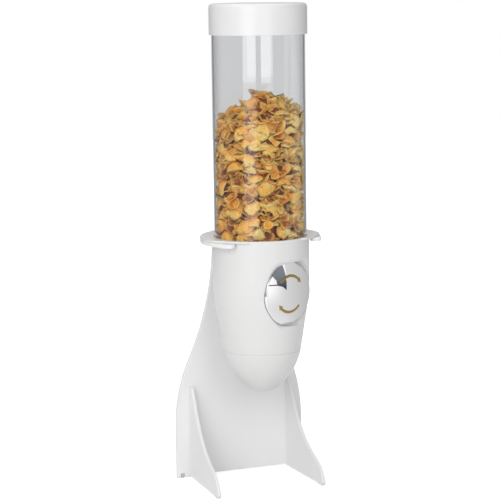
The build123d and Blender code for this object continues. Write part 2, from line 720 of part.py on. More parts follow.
with BuildPart() as canister_tube:
    with BuildSketch(level(TUBE_BOTTOM_Z)):
        Circle(TUBE_R)
        Circle(TUBE_R - TUBE_WALL, mode=Mode.SUBTRACT)
    extrude(amount=TUBE_TOP_Z - TUBE_BOTTOM_Z)
    fillet(canister_tube.edges().filter_by(GeomType.CIRCLE), radius=TUBE_EDGE)
canister_tube.part.label = "canister_tube"
export_step(canister_tube.part, "parts/canister_tube.step")

# Heap of flakes inside the canister

with BuildPart() as cereal_fill:
    with BuildSketch(SECTION):
        with BuildLine():
            bottom_z = TUBE_BOTTOM_Z + HEAP_GAP
            heap_r = TUBE_R - TUBE_WALL - HEAP_GAP
            top = Spline((0, HEAP_PEAK_Z), *HEAP_CURVE, (heap_r, HEAP_WALL_Z))
            Polyline(top @ 1, (heap_r, bottom_z), (0, bottom_z), top @ 0)
        make_face()
    revolve(axis=AXIS)
cereal_fill.part.label = "cereal_fill"
export_step(cereal_fill.part, "parts/cereal_fill.step")

# Push-on lid

with BuildPart() as lid_cap:
    with BuildSketch(level(LID_BOTTOM_Z)):
        Circle(LID_R)
    extrude(amount=LID_TOP_Z - LID_BOTTOM_Z)
    rims = lid_cap.edges().filter_by(GeomType.CIRCLE).sort_by(Axis.Z)
    fillet(rims[-1], radius=LID_EDGE)
    fillet(rims[0], radius=LID_LIP)
    with BuildSketch(level(LID_BOTTOM_Z)):
        Circle(LID_R - LID_WALL)
    extrude(amount=LID_TOP_Z - LID_BOTTOM_Z - LID_TOP_WALL, mode=Mode.SUBTRACT)
lid_cap.part.label = "lid_cap"
export_step(lid_cap.part, "parts/lid_cap.step")

# Soft ring under the lid's top

with BuildPart() as lid_seal:
    with BuildSketch(level(LID_TOP_Z - LID_TOP_WALL - LID_SEAL_T)):
        Circle(LID_R - LID_WALL - PRESS_GAP)
        Circle(TUBE_R - TUBE_WALL, mode=Mode.SUBTRACT)
    extrude(amount=LID_SEAL_T)
lid_seal.part.label = "lid_seal"
export_step(lid_seal.part, "parts/lid_seal.step")
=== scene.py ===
import json
import math

import bmesh
import bpy
import numpy as np
from bpy.props import FloatProperty, FloatVectorProperty, IntProperty, PointerProperty
from bpy.types import Operator, Panel, PropertyGroup
from mathutils import Matrix, Vector


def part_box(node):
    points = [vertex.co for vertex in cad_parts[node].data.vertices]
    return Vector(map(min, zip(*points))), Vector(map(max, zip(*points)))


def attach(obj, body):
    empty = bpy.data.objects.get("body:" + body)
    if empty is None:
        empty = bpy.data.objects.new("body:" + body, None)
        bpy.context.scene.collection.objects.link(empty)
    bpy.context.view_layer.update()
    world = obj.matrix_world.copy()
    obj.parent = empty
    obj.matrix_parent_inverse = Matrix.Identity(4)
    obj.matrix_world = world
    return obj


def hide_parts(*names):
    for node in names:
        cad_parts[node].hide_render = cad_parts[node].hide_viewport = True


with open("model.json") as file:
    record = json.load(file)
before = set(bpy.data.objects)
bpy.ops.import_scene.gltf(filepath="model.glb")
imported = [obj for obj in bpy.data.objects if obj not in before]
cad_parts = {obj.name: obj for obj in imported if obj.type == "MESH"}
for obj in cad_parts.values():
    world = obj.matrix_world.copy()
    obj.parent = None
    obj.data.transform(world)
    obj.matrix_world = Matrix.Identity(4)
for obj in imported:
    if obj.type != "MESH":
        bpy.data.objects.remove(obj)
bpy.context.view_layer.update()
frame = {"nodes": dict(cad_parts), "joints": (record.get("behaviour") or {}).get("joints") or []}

bl_info = {
    "name": "Rotating cereal dispenser",
    "version": (1, 0, 0),
    "blender": (4, 5, 0),
    "location": "3D View > Sidebar > Dispenser",
    "description": "Dresses the packed cereal dispenser and lights it on a white studio floor",
    "category": "Object",
}

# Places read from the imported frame

TUBE_LOW, TUBE_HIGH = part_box("canister_tube")
LID_LOW, LID_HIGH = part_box("lid_cap")
SHELL_LOW, SHELL_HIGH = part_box("housing_shell")
NOSE_LOW, NOSE_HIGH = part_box("nose_spout")
HEAP_LOW, HEAP_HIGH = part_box("cereal_fill")
KNOB_JOINT = next(joint for joint in frame["joints"] if joint["name"] == "wheel_turn")

UPRIGHT = (np.array([0.0, (TUBE_LOW.y + TUBE_HIGH.y) / 2, 0.0]), np.eye(3))
SHAFT_ALONG = np.array(KNOB_JOINT["axis"])
SHAFT_SIDE = np.array([-SHAFT_ALONG[1], SHAFT_ALONG[0], 0.0])
SHAFT = (np.array(KNOB_JOINT["pos_m"]), np.array([SHAFT_SIDE, [0.0, 0.0, 1.0], SHAFT_ALONG]))
MM = 0.001

# Radius of the hole in the seat's floor, which the front bush stands in
BUSH_HOLE = 6.03 * MM


# Sizes and colours that a user would change


def length(name, description, default):
    """A length property in metres, shown in the scene's own unit."""
    return FloatProperty(name=name, description=description, default=default, unit="LENGTH", precision=5)


def turn(name, description, degrees):
    """An angle property, given in degrees and kept in radians."""
    return FloatProperty(name=name, description=description, default=math.radians(degrees), subtype="ANGLE")


def number(name, description, default):
    """A plain number property."""
    return FloatProperty(name=name, description=description, default=default)


def colour(name, description, default):
    """A linear colour property."""
    return FloatVectorProperty(
        name=name, description=description, default=default, size=3, min=0.0, max=1.0, subtype="COLOR"
    )


class CanisterSettings(PropertyGroup):
    """Clear tube and the lid pushed over it."""

    radius: length("Tube radius", "Outer radius of the clear tube", (TUBE_HIGH.x - TUBE_LOW.x) / 2)
    wall: length("Tube wall", "Thickness of the clear wall", 0.0018)
    edge: length("Tube edge", "Rounding of the tube's cut ends", 0.0006)
    tint: colour("Tube tint", "Colour that the clear wall gives to light", (0.968, 0.971, 0.974))
    lid_wall: length("Lid wall", "Thickness of the lid's skirt", 0.0022)
    lid_top: length("Lid top", "Thickness of the lid's top", 0.0026)
    lid_edge: length("Lid edge", "Rounding of the lid's upper rim", 0.0045)
    lid_colour: colour("Lid colour", "Colour of the lid's moulding", (0.80, 0.80, 0.80))


class FlakeSettings(PropertyGroup):
    """Toasted flakes heaped in the canister."""

    wall_count: IntProperty(name="Wall flakes", description="Flakes lying along the tube's wall", default=430)
    top_count: IntProperty(name="Top flakes", description="Flakes on the top of the heap", default=115)
    inner_count: IntProperty(name="Inner flakes", description="Flakes one layer further in", default=380)
    half_long: length("Half length", "Half of a flake's longer side", 0.0104)
    half_short: length("Half width", "Half of a flake's shorter side", 0.0090)
    thickness: length("Thickness", "Thickness in the middle of a flake", 0.0012)
    press: length("Press", "How far a flake by the wall is pressed flat against it", 0.0028)
    stand_out: length("Stand out", "How far a flake may stand out of the heap's top", 0.0015)
    tilt: number("Tilt", "Spread of the flakes' lean away from their lie", 0.30)
    lean: number("Lean", "Rise of the heap towards the right, per metre", 0.19)
    seed: IntProperty(name="Seed", description="Start of the random numbers", default=11)
    golden: colour("Golden", "Colour of an evenly toasted flake", (1.0, 0.42, 0.04))
    # Pale is also the colour of the highlight painted along the rims, and dark of the shade painted into the
    # hollows and the core
    pale: colour("Pale", "Colour of a lightly toasted flake", (1.0, 0.70, 0.23))
    dark: colour("Dark", "Colour of a well toasted flake", (0.27, 0.062, 0.018))


class HousingSettings(PropertyGroup):
    """Bullet-shaped housing with its flange, the knob's seat and the nose."""

    radius: length("Housing radius", "Outer radius of the straight wall", 0.0525)
    wall: length("Wall", "Thickness of the housing's wall", 0.003)
    taper_from: length("Taper height", "Height where the wall begins to draw in", 0.240)
    taper_arc: length("Taper arc", "Radius of the bend into the taper", 0.255)
    taper: turn("Taper", "Lean of the tapered wall", 8.8)
    seam: length("Seam height", "Height of the parting line above the nose", SHELL_LOW.z)
    groove: length("Seam groove", "Depth of the chamfers that meet at the seam", 0.00045)
    bore: length("Socket radius", "Radius of the socket that the canister stands in", 0.0503)
    ledge: length("Ledge height", "Height of the step that carries the funnel", 0.2583)
    flange: length("Flange radius", "Radius of the flange that rests on the yoke", 0.0655)
    flange_thickness: length("Flange thickness", "Thickness of the flange", 0.0025)
    seat_radius: length("Seat radius", "Radius of the round seat behind the knob", 0.03456)
    seat_floor: length("Seat floor", "Distance of the seat's floor from the upright axis", 0.0345)
    seat_edge: length("Seat edge", "Rounding of the seat's rim", 0.0020)
    flare_from: length("Flare start", "Distance from the upright axis where the mouth widens", 0.0398)
    flare_round: number("Flare all round", "Widening of the mouth per depth on every side", 0.2)
    flare_left: number("Flare left", "Further widening of the mouth per depth at its left", 1.05)
    nose_wall: length("Nose wall", "Thickness of the nose's wall", 0.0025)
    nose_lean: turn("Nose lean", "Lean of the nose just under the seam", 10.3)
    flank_arc: length("Flank arc", "Radius of the nose's flank", 0.0705)
    flank_lean: turn("Flank lean", "Lean of the flank where the tip begins", 49.9)
    mouth: length("Mouth start", "Distance behind the upright axis where the mouth begins", 0.003)
    colour: colour("Housing colour", "Colour of the housing's moulding", (0.785, 0.785, 0.78))


class KnobSettings(PropertyGroup):
    """Bright domed knob and the two arrows on it."""

    radius: length("Knob radius", "Radius of the bright cap", 0.0343)
    back: length("Knob back", "Distance of the cap's back edge from the upright axis", 0.0352)
    rim: length("Knob rim", "Distance of the dome's edge from the upright axis", 0.0403)
    apex: length("Knob apex", "Distance of the dome's middle from the upright axis", 0.0439)
    wall: length("Cap wall", "Thickness of the bright cap", 0.0015)
    edge: length("Cap edge", "Rounding between the dome and the side", 0.0008)
    ring: length("Arrow ring", "Radius of the ring that the arrows lie on", 0.0196)
    stroke: length("Arrow stroke", "Width of an arrow's line", 0.0030)
    head: length("Arrow head", "Length of an arrow's head", 0.0050)
    head_width: length("Head width", "Width of an arrow's head", 0.0062)
    lift: length("Arrow lift", "Thickness of the printed arrows", 0.0003)
    start: turn("Arrow start", "Angle on the dome where the first arrow begins", 135.0)
    end: turn("Arrow end", "Angle on the dome where the first arrow's head begins", 46.0)
    arrow_colour: colour("Arrow colour", "Colour of the printed arrows", (0.36, 0.26, 0.06))


class StandSettings(PropertyGroup):
    """Colours of the stand and of the mechanism inside."""

    colour: colour("Stand colour", "Colour of the plate, the fins and the yoke", (0.872, 0.877, 0.872))
    rubber: colour("Foot colour", "Colour of the rubber feet under the plate", (0.56, 0.56, 0.55))
    pad: colour("Pad colour", "Colour of the pads under the fins' toes", (0.84, 0.84, 0.83))
    inner: colour("Inner colour", "Colour of the mouldings inside", (0.72, 0.72, 0.69))
    seal: colour("Seal colour", "Colour of the soft rings and vanes", (0.62, 0.64, 0.66))
    steel: colour("Steel colour", "Colour of the screws, the shaft and its clip", (0.56, 0.56, 0.57))


class StageSettings(PropertyGroup):
    """Camera, lamps and floor."""

    lens: number("Lens", "Focal length of the camera on a 36 mm film", 130.0)
    eye: FloatVectorProperty(
        name="Camera place",
        description="Where the camera stands",
        default=(-0.7200, -1.8034, 0.5583),
        subtype="TRANSLATION",
    )
    aim: FloatVectorProperty(
        name="Camera direction",
        description="Where the camera looks",
        default=(0.36298, 0.91958, -0.15036),
        subtype="DIRECTION",
    )
    roll: turn("Camera roll", "Tilt of the picture about the view", -0.782)
    key: number("Left lamp", "Power of the left window lamp in watts", 10.5)
    side: number("Right lamp", "Power of the right window lamp in watts", 4.1)
    over: number("Top lamp", "Power of the lamp overhead in watts", 5.0)
    sill: length("Window sill", "Height of the lower edge of the windows' middle panes", 0.356)
    ambient: number("Ambient", "Strength of the even light from all round", 0.50)
    dark: number("Dark wall", "Brightness of the dark parts of the studio's walls", 0.15)
    pale: number("Pale wall", "Brightness of the walls' pale part behind the dispenser", 0.685)
    back: number("Behind", "Azimuth in degrees of the middle of the pale part", 158.4)


class DispenserSettings(PropertyGroup):
    """Every group of settings of the dispenser."""

    canister: PointerProperty(type=CanisterSettings)
    flakes: PointerProperty(type=FlakeSettings)
    housing: PointerProperty(type=HousingSettings)
    knob: PointerProperty(type=KnobSettings)
    stand: PointerProperty(type=StandSettings)
    stage: PointerProperty(type=StageSettings)


def chosen():
    """Every setting of the dispenser, as the user has left it."""
    return bpy.context.scene.dispenser


# Shapes


def grid_quads(rows, columns, close_rows=False, close_columns=True):
    """Quads between neighbouring rows and columns of a grid of points numbered row by row."""
    index = np.arange(rows * columns).reshape(rows, columns)
    if close_rows:
        index = np.vstack([index, index[:1]])
    if close_columns:
        index = np.hstack([index, index[:, :1]])
    corners = (index[:-1, :-1], index[:-1, 1:], index[1:, 1:], index[1:, :-1])
    return np.stack(corners, axis=-1).reshape(-1, 4)


def joined(*sheets):
    """One list of points and one of quads from several (points, quads) pairs."""
    counts = np.cumsum([0] + [len(points) for points, _ in sheets])
    quads = [sheet[1] + start for sheet, start in zip(sheets, counts)]
    return np.vstack([points for points, _ in sheets]), np.vstack(quads)


def welded(points, quads):
    """Joins points that are closer than a ten-thousandth of a millimetre.

    A quad that loses a corner by that is made a triangle.
    """
    keys = np.round(points / 1e-7).astype(np.int64)
    _, first, inverse = np.unique(keys, axis=0, return_index=True, return_inverse=True)
    quads = inverse.reshape(-1)[quads]
    same = quads == np.roll(quads, -1, axis=1)
    lost = same.sum(axis=1)
    triangles = quads[lost == 1][~same[lost == 1]].reshape(-1, 3)
    return points[first], quads[lost == 0], triangles, first


def make_piece(name, points, quads, body, finish, replaced, marks=None):
    """A new piece from points and quads in metres, facing outwards, which rides on a body."""
    points, quads, triangles, kept = welded(points, quads)
    loops = np.concatenate([quads.ravel(), triangles.ravel()])
    sizes = np.concatenate([np.full(len(quads), 4), np.full(len(triangles), 3)])
    mesh = bpy.data.meshes.new(name)
    mesh.vertices.add(len(points))
    mesh.vertices.foreach_set("co", points.astype(np.float32).ravel())
    mesh.loops.add(len(loops))
    mesh.loops.foreach_set("vertex_index", loops.astype(np.int32))
    mesh.polygons.add(len(sizes))
    mesh.polygons.foreach_set("loop_start", (np.cumsum(sizes) - sizes).astype(np.int32))
    mesh.update(calc_edges=True)
    if mesh.validate():
        raise RuntimeError(f"{name} has faces that can't be kept")
    shape = bmesh.new()
    shape.from_mesh(mesh)
    bmesh.ops.recalc_face_normals(shape, faces=shape.faces)
    shape.to_mesh(mesh)
    shape.free()
    mesh.polygons.foreach_set("use_smooth", np.ones(len(sizes), dtype=bool))
    for mark, values in (marks or {}).items():
        layer = mesh.attributes.new(mark, "FLOAT", "POINT")
        layer.data.foreach_set("value", values[kept].astype(np.float32))
    mesh.materials.append(finish)
    piece = bpy.data.objects.new(name, mesh)
    bpy.context.scene.collection.objects.link(piece)
    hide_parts(*replaced)
    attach(piece, body)


def softened(corners, steps=6, guard=0.15 * MM):
    """Outline with rounded corners from (a, b, radius) triples.

    At a corner both runs are cut back by radius / tan(half the inner angle), and an arc tangent to both joins
    them. A guard point just outside each arc keeps the flats' shading flat.
    """
    places = np.array([corner[:2] for corner in corners], dtype=float)
    pieces = []
    for i, (_, _, radius) in enumerate(corners):
        here = places[i]
        if radius <= 0:
            pieces.append(here[None])
            continue
        before = places[i - 1] - here
        after = places[(i + 1) % len(places)] - here
        before /= np.linalg.norm(before)
        after /= np.linalg.norm(after)
        half = math.acos(np.clip(before @ after, -1, 1)) / 2
        cut = radius / math.tan(half)
        middle = here + (before + after) / np.linalg.norm(before + after) * radius / math.sin(half)
        first, last = here + before * cut - middle, here + after * cut - middle
        sweep = math.pi - 2 * half
        share = np.linspace(0, 1, steps + 1)[:, None]
        arc = middle + (np.sin((1 - share) * sweep) * first + np.sin(share * sweep) * last) / math.sin(sweep)
        pieces.append(np.vstack([here + before * (cut + guard), arc, here + after * (cut + guard)]))
    return np.vstack(pieces)


def polar(radius, angle, height):
    """Points (radius cos t, radius sin t, height) at each angle t."""
    radius, angle, height = np.broadcast_arrays(radius, angle, height)
    return np.stack([radius * np.cos(angle), radius * np.sin(angle), height], axis=-1)


def turned(outline, place, closed=False):
    """Surface of revolution of an outline of (radius, height) points about a place's third direction.

    A point at radius zero becomes a pole.
    """
    origin, axes = place
    sectors = 256
    angle = np.arange(sectors) * 2 * math.pi / sectors
    local = polar(outline[:, :1], angle, outline[:, 1:])
    return origin + local.reshape(-1, 3) @ axes, grid_quads(len(outline), sectors, close_rows=closed)


def on_upright(radius, angle, height):
    """Points at a radius, an angle and a height about the canister's upright axis."""
    return UPRIGHT[0] + polar(radius, angle, height).reshape(-1, 3)


def on_shaft(local):
    """Points given as side, up and along the knob's shaft, put in place."""
    return SHAFT[0] + local @ SHAFT[1]


# Finishes: node groups that several materials share


def put(tree, socket, value):
    """Links an input to a socket, or sets a plain value on it. A colour of three numbers gets its fourth."""
    if isinstance(value, bpy.types.NodeSocket):
        tree.links.new(value, socket)
    elif isinstance(value, (int, float)):
        socket.default_value = value
    else:
        socket.default_value = (*value, 1.0)[: len(socket.default_value)]


def wire(tree, kind, *values, **settings):
    """A new node with some of its settings, its inputs fed in order with sockets or plain values."""
    node = tree.nodes.new(kind)
    for key, setting in settings.items():
        setattr(node, key, setting)
    for socket, value in zip(node.inputs, values):
        put(tree, socket, value)
    return node


def feed(tree, node, **values):
    """Feeds a node's inputs by their names, and gives the node back."""
    for name, value in values.items():
        put(tree, node.inputs[name.replace("_", " ")], value)
    return node


def effect(name, outputs, **inputs):
    """A new shader node group with its input and output nodes. Each input is given with its plain value."""
    tree = bpy.data.node_groups.new(name, "ShaderNodeTree")
    kinds = {True: "NodeSocketColor", False: "NodeSocketFloat"}
    for socket, value in inputs.items():
        kind = kinds[isinstance(value, tuple)]
        made = tree.interface.new_socket(socket.replace("_", " "), in_out="INPUT", socket_type=kind)
        made.default_value = value
    for socket in outputs:
        tree.interface.new_socket(socket, in_out="OUTPUT", socket_type=kinds[socket == "Color"])
    return tree, wire(tree, "NodeGroupInput").outputs, wire(tree, "NodeGroupOutput")


def noise(tree, where, scale, detail=3.0, roughness=0.5):
    """Noise of a given scale per metre on the coordinates that come from a socket."""
    node = wire(tree, "ShaderNodeTexNoise")
    return feed(tree, node, Vector=where, Scale=scale, Detail=detail, Roughness=roughness).outputs["Fac"]


def calculate(tree, operation, *values):
    """Result of a Math node."""
    return wire(tree, "ShaderNodeMath", *values, operation=operation).outputs["Value"]


def from_vector(tree, operation, *values):
    """Result of a Vector Math node."""
    node = wire(tree, "ShaderNodeVectorMath", *values, operation=operation)
    return node.outputs["Value" if operation in ("DOT_PRODUCT", "LENGTH") else "Vector"]


def swing(tree, value, amount):
    """A noise, moved so that its middle is zero, times an amount."""
    return calculate(tree, "MULTIPLY", calculate(tree, "SUBTRACT", value, 0.5), amount)


def blend_colours(tree, share, first, second, how="MIX"):
    """Colour from two colours by a share."""
    node = wire(tree, "ShaderNodeMix", data_type="RGBA", blend_type=how, clamp_factor=True)
    for place, value in ((0, share), (6, first), (7, second)):
        put(tree, node.inputs[place], value)
    return node.outputs[2]


def shaded(tree, base, level):
    """A colour times a level."""
    grey = wire(tree, "ShaderNodeCombineColor", level, level, level)
    return blend_colours(tree, 1.0, base, grey.outputs[0], "MULTIPLY")


def own_place(tree):
    """Coordinates of the piece itself, which here are metres in the dispenser's frame."""
    return wire(tree, "ShaderNodeTexCoord").outputs["Object"]


def own_mark(tree, mark):
    """A mark that the piece's points carry."""
    return wire(tree, "ShaderNodeAttribute", attribute_name=mark).outputs["Fac"]


def spread(tree, value, low, high, start=0.0, end=1.0):
    """Moves a value from the range start to end into the range low to high."""
    return wire(tree, "ShaderNodeMapRange", value, start, end, low, high).outputs["Result"]


def squeezed(tree, where, scale, turned_by=(0.0, 0.0, 0.0)):
    """Coordinates turned and scaled along each direction, so that a noise on them becomes lines."""
    node = wire(tree, "ShaderNodeMapping", vector_type="POINT")
    return feed(tree, node, Vector=where, Rotation=turned_by, Scale=scale).outputs["Vector"]


COAT = ("Color", "Roughness", "Height")


def moulded_surface():
    """Group for moulded plastic: slow mottling from cooling, a fine grain for the bump, patches of gloss."""
    tree, given, result = effect(
        "moulded surface",
        COAT,
        Color=(0.8, 0.8, 0.8, 1.0),
        Mottling=0.02,
        Grain=1800.0,
        Gloss=0.35,
        Gloss_Spread=0.08,
    )
    where = own_place(tree)
    slow = noise(tree, where, 22.0, 2.0)
    patches = noise(tree, where, 75.0, 4.0, 0.6)
    fine = noise(tree, where, given["Grain"], 2.0)
    mottled = calculate(tree, "MULTIPLY", swing(tree, slow, given["Mottling"]), 2.0)
    level = calculate(tree, "ADD", 1.0, mottled)
    gloss = calculate(tree, "ADD", given["Gloss"], swing(tree, patches, given["Gloss Spread"]))
    feed(tree, result, Color=shaded(tree, given["Color"], level), Roughness=gloss, Height=fine)
    return tree


def handling_marks():
    """Group for handled bright surfaces: a mask of long thin hairlines and one of broad smudges."""
    outputs = ("Hairlines", "Smudges")
    tree, given, result = effect("handling marks", outputs, Hairlines=900.0, Smudges=60.0)
    where = own_place(tree)
    drawn_out = squeezed(tree, where, (1.0, 1.0, 0.03), (0.5, 0.2, 0.3))
    lines = spread(tree, noise(tree, drawn_out, given["Hairlines"], 2.0), 0.0, 1.0, 0.62, 0.72)
    broad = spread(tree, noise(tree, where, given["Smudges"], 5.0, 0.65), 0.0, 1.0, 0.48, 0.68)
    feed(tree, result, Hairlines=lines, Smudges=broad)
    return tree


def toasting_and_painted_light():
    """Group for toasted flakes: a tone from pale through golden to dark, darker blisters, and a painted
    highlight that makes the rim paler.
    """
    tree, given, result = effect(
        "toasting_and_painted_light",
        COAT,
        Pale=(0.9, 0.7, 0.3, 1.0),
        Golden=(0.8, 0.4, 0.1, 1.0),
        Dark=(0.3, 0.1, 0.04, 1.0),
        Tone=0.5,
        Rim=0.0,
    )
    where = own_place(tree)
    blisters = noise(tree, where, 420.0, 4.0, 0.62)
    crumbs = noise(tree, where, 1500.0, 3.0, 0.6)
    tone = calculate(tree, "ADD", given["Tone"], swing(tree, blisters, 0.9))
    warm = blend_colours(tree, spread(tree, tone, 0.0, 1.0, 0.05, 0.5), given["Pale"], given["Golden"])
    toasted = blend_colours(tree, spread(tree, tone, 0.0, 1.0, 0.55, 1.05), warm, given["Dark"])
    # Painted highlight: the rim is blended towards the pale colour
    rim = calculate(tree, "MULTIPLY", calculate(tree, "POWER", given["Rim"], 4.0), 0.55)
    height = calculate(tree, "ADD", blisters, calculate(tree, "MULTIPLY", crumbs, 0.35))
    feed(tree, result, Color=blend_colours(tree, rim, toasted, given["Pale"]))
    feed(tree, result, Roughness=spread(tree, crumbs, 0.38, 0.62), Height=height)
    return tree


def brushed_metal():
    """Group for turned or plated metal: fine lines across one direction vary the shade and the gloss."""
    tree, given, result = effect("brushed metal", COAT, Color=(0.6, 0.6, 0.6, 1.0), Lines=2200.0)
    lines = noise(tree, squeezed(tree, own_place(tree), (0.06, 1.0, 1.0)), given["Lines"], 2.0)
    feed(tree, result, Color=shaded(tree, given["Color"], spread(tree, lines, 0.86, 1.08)))
    feed(tree, result, Roughness=spread(tree, lines, 0.22, 0.42), Height=lines)
    return tree


GROUPS = {
    "moulded surface": moulded_surface,
    "handling marks": handling_marks,
    "toasting_and_painted_light": toasting_and_painted_light,
    "brushed metal": brushed_metal,
}


def place_group(tree, name, **values):
    """Adds one of the shared groups with its own values, and builds the group the first time."""
    node = wire(tree, "ShaderNodeGroup")
    node.node_tree = bpy.data.node_groups.get(name) or GROUPS[name]()
    return feed(tree, node, **values).outputs


def start_finish(name, **values):
    """A new material with its Principled shader, and plain values set on that shader's sockets."""
    material = bpy.data.materials.new(name)
    material.use_nodes = True
    tree = material.node_tree
    return material, tree, feed(tree, tree.nodes["Principled BSDF"], **values)


def coat(tree, shader, group, depth):
    """Feeds a group's colour, roughness and height, in units of a depth, into the shader."""
    bump = feed(tree, wire(tree, "ShaderNodeBump"), Height=group["Height"], Distance=depth, Strength=1.0)
    feed(tree, shader, Base_Color=group["Color"], Roughness=group["Roughness"], Normal=bump.outputs["Normal"])


def plastic_finish(name, base, gloss, mottling=0.018, grain=1500.0, depth=0.02 * MM, **values):
    """Moulded plastic of one colour."""
    material, tree, shader = start_finish(name, **values)
    marks = {"Mottling": mottling, "Grain": grain, "Gloss": gloss, "Gloss_Spread": 0.1}
    coat(tree, shader, place_group(tree, "moulded surface", Color=base, **marks), depth)
    return material


def painted_seat_shade(tree, shader, seat_radius):
    """Paints shade into a finish just round the right side of the knob's seat.

    The shade falls off with the distance from the shaft's line, and grows from none over the shaft to its
    full strength at a distance to the right.
    """
    strongest, full, gone, right_reach = 0.22, 0.4 * MM, 3.2 * MM, 16 * MM
    from_shaft = from_vector(tree, "SUBTRACT", own_place(tree), SHAFT[0])
    away = from_vector(tree, "LENGTH", from_vector(tree, "CROSS_PRODUCT", from_shaft, SHAFT_ALONG))
    near = spread(tree, away, strongest, 0.0, seat_radius + full, seat_radius + gone)
    beside_shaft = from_vector(tree, "DOT_PRODUCT", from_shaft, SHAFT_SIDE)
    right = spread(tree, beside_shaft, 0.0, 1.0, 0.0, right_reach)
    level = calculate(tree, "SUBTRACT", 1.0, calculate(tree, "MULTIPLY", near, right))
    base = shader.inputs["Base Color"].links[0].from_socket
    feed(tree, shader, Base_Color=shaded(tree, base, level))


def clear_finish(name, tint):
    """Clear acrylic with faint smudges in its gloss, which lets the lamps through to the flakes."""
    material, tree, shader = start_finish(name, Base_Color=tint, Transmission_Weight=1.0, IOR=1.49)
    marks = place_group(tree, "handling marks", Hairlines=700.0, Smudges=35.0)
    worn = calculate(tree, "MULTIPLY", marks["Smudges"], 0.02)
    feed(tree, shader, Roughness=calculate(tree, "ADD", worn, 0.008))
    path = wire(tree, "ShaderNodeLightPath").outputs
    passing = calculate(tree, "MAXIMUM", path["Is Shadow Ray"], path["Is Diffuse Ray"])
    through = wire(tree, "ShaderNodeBsdfTransparent", (0.985, 0.985, 0.985))
    mixed = wire(tree, "ShaderNodeMixShader", passing, shader.outputs["BSDF"], through.outputs["BSDF"])
    feed(tree, tree.nodes["Material Output"], Surface=mixed.outputs["Shader"])
    return material


def flake_finish(name, pale, golden, dark):
    """Toasted flake from the piece's own marks: its tone, painted shade on its hollow side, a painted
    highlight on its rim.
    """
    glow = {"Subsurface_Weight": 0.3, "Subsurface_Radius": (1.0, 0.5, 0.2), "Subsurface_Scale": 1.5 * MM}
    material, tree, shader = start_finish(name, IOR=1.42, **glow)
    tone, rim, hollow = (own_mark(tree, mark) for mark in ("tone", "rim", "hollow"))
    # Painted shade: the hollow side of each flake is darkened by raising its tone
    tone = calculate(tree, "ADD", tone, calculate(tree, "MULTIPLY", hollow, 0.5))
    group = place_group(tree, "toasting_and_painted_light", Pale=pale, Golden=golden, Dark=dark, Tone=tone, Rim=rim)
    coat(tree, shader, group, 1.6 * MM)
    return material


def chrome_finish(name):
    """Mirror plating with faint hairlines and smudges in its gloss."""
    material, tree, shader = start_finish(name, Metallic=1.0)
    marks = place_group(tree, "handling marks", Hairlines=1400.0, Smudges=90.0)
    smeared = calculate(tree, "MULTIPLY", marks["Smudges"], 0.25)
    lines = calculate(tree, "MULTIPLY", marks["Hairlines"], 0.015)
    dull = calculate(tree, "ADD", lines, calculate(tree, "MULTIPLY", marks["Smudges"], 0.012))
    feed(tree, shader, Base_Color=blend_colours(tree, smeared, (0.90, 0.90, 0.91), (0.86, 0.86, 0.87)))
    feed(tree, shader, Roughness=calculate(tree, "ADD", dull, 0.012))
    return material


def metal_finish(name, base):
    """Plated or turned steel."""
    material, tree, shader = start_finish(name, Metallic=1.0)
    coat(tree, shader, place_group(tree, "brushed metal", Color=base), 0.01 * MM)
    return material


# Housing wall and nose


def wall_radius(height, inset):
    """Radius of the bullet's wall, a distance inside its face.

    From above it is straight, then an arc, then a straight taper.
    """
    h = chosen().housing
    arc = h.taper_arc - inset
    drop = np.clip(h.taper_from - height, 0, None)
    bend = arc * math.sin(h.taper)
    curved = arc - np.sqrt(arc**2 - np.clip(drop, 0, bend) ** 2)
    return h.radius - inset - curved - np.clip(drop - bend, 0, None) * math.tan(h.taper)


def flange_reach(angle):
    """Distance of the flange's outline from the upright axis at each angle.

    It is a circle cut by a front line and two slanted ones, with the corners between them rounded by circles
    tangent to both.
    """
    h = chosen().housing
    front, corner_x, slope, corner_r, shoulder_r = 43.8 * MM, 35.5 * MM, 0.95, 10 * MM, 24 * MM
    folded = np.arctan2(np.sin(angle), np.abs(np.cos(angle)))
    ray = np.stack([np.cos(folded), np.sin(folded)], axis=-1)
    normal = np.array([slope, -1.0]) / math.hypot(slope, 1)
    along = np.array([1.0, slope]) / math.hypot(slope, 1)
    slant = normal @ (corner_x, -front)
    with np.errstate(divide="ignore"):
        to_front = np.where(ray[..., 1] < -1e-6, front / -ray[..., 1], np.inf)
        to_slant = np.where(ray @ normal > 1e-6, slant / (ray @ normal), np.inf)
    reach = np.minimum(np.minimum(to_front, to_slant), h.flange)
    corner = np.array([(slant - corner_r + normal[1] * (front - corner_r)) / normal[0], corner_r - front])
    inner = h.flange - shoulder_r
    shoulder = (slant - shoulder_r) * normal + math.sqrt(inner**2 - (slant - shoulder_r) ** 2) * along
    for middle, radius, start, end in (
        (corner, corner_r, corner + (0, -corner_r), corner + normal * corner_r),
        (shoulder, shoulder_r, shoulder + normal * shoulder_r, shoulder * h.flange / inner),
    ):
        near = ray @ middle
        arc = near + np.sqrt(np.clip(near**2 - middle @ middle + radius**2, 0, None))
        inside = (folded > math.atan2(start[1], start[0])) & (folded < math.atan2(end[1], end[0]))
        reach = np.where(inside, arc, reach)
    return reach


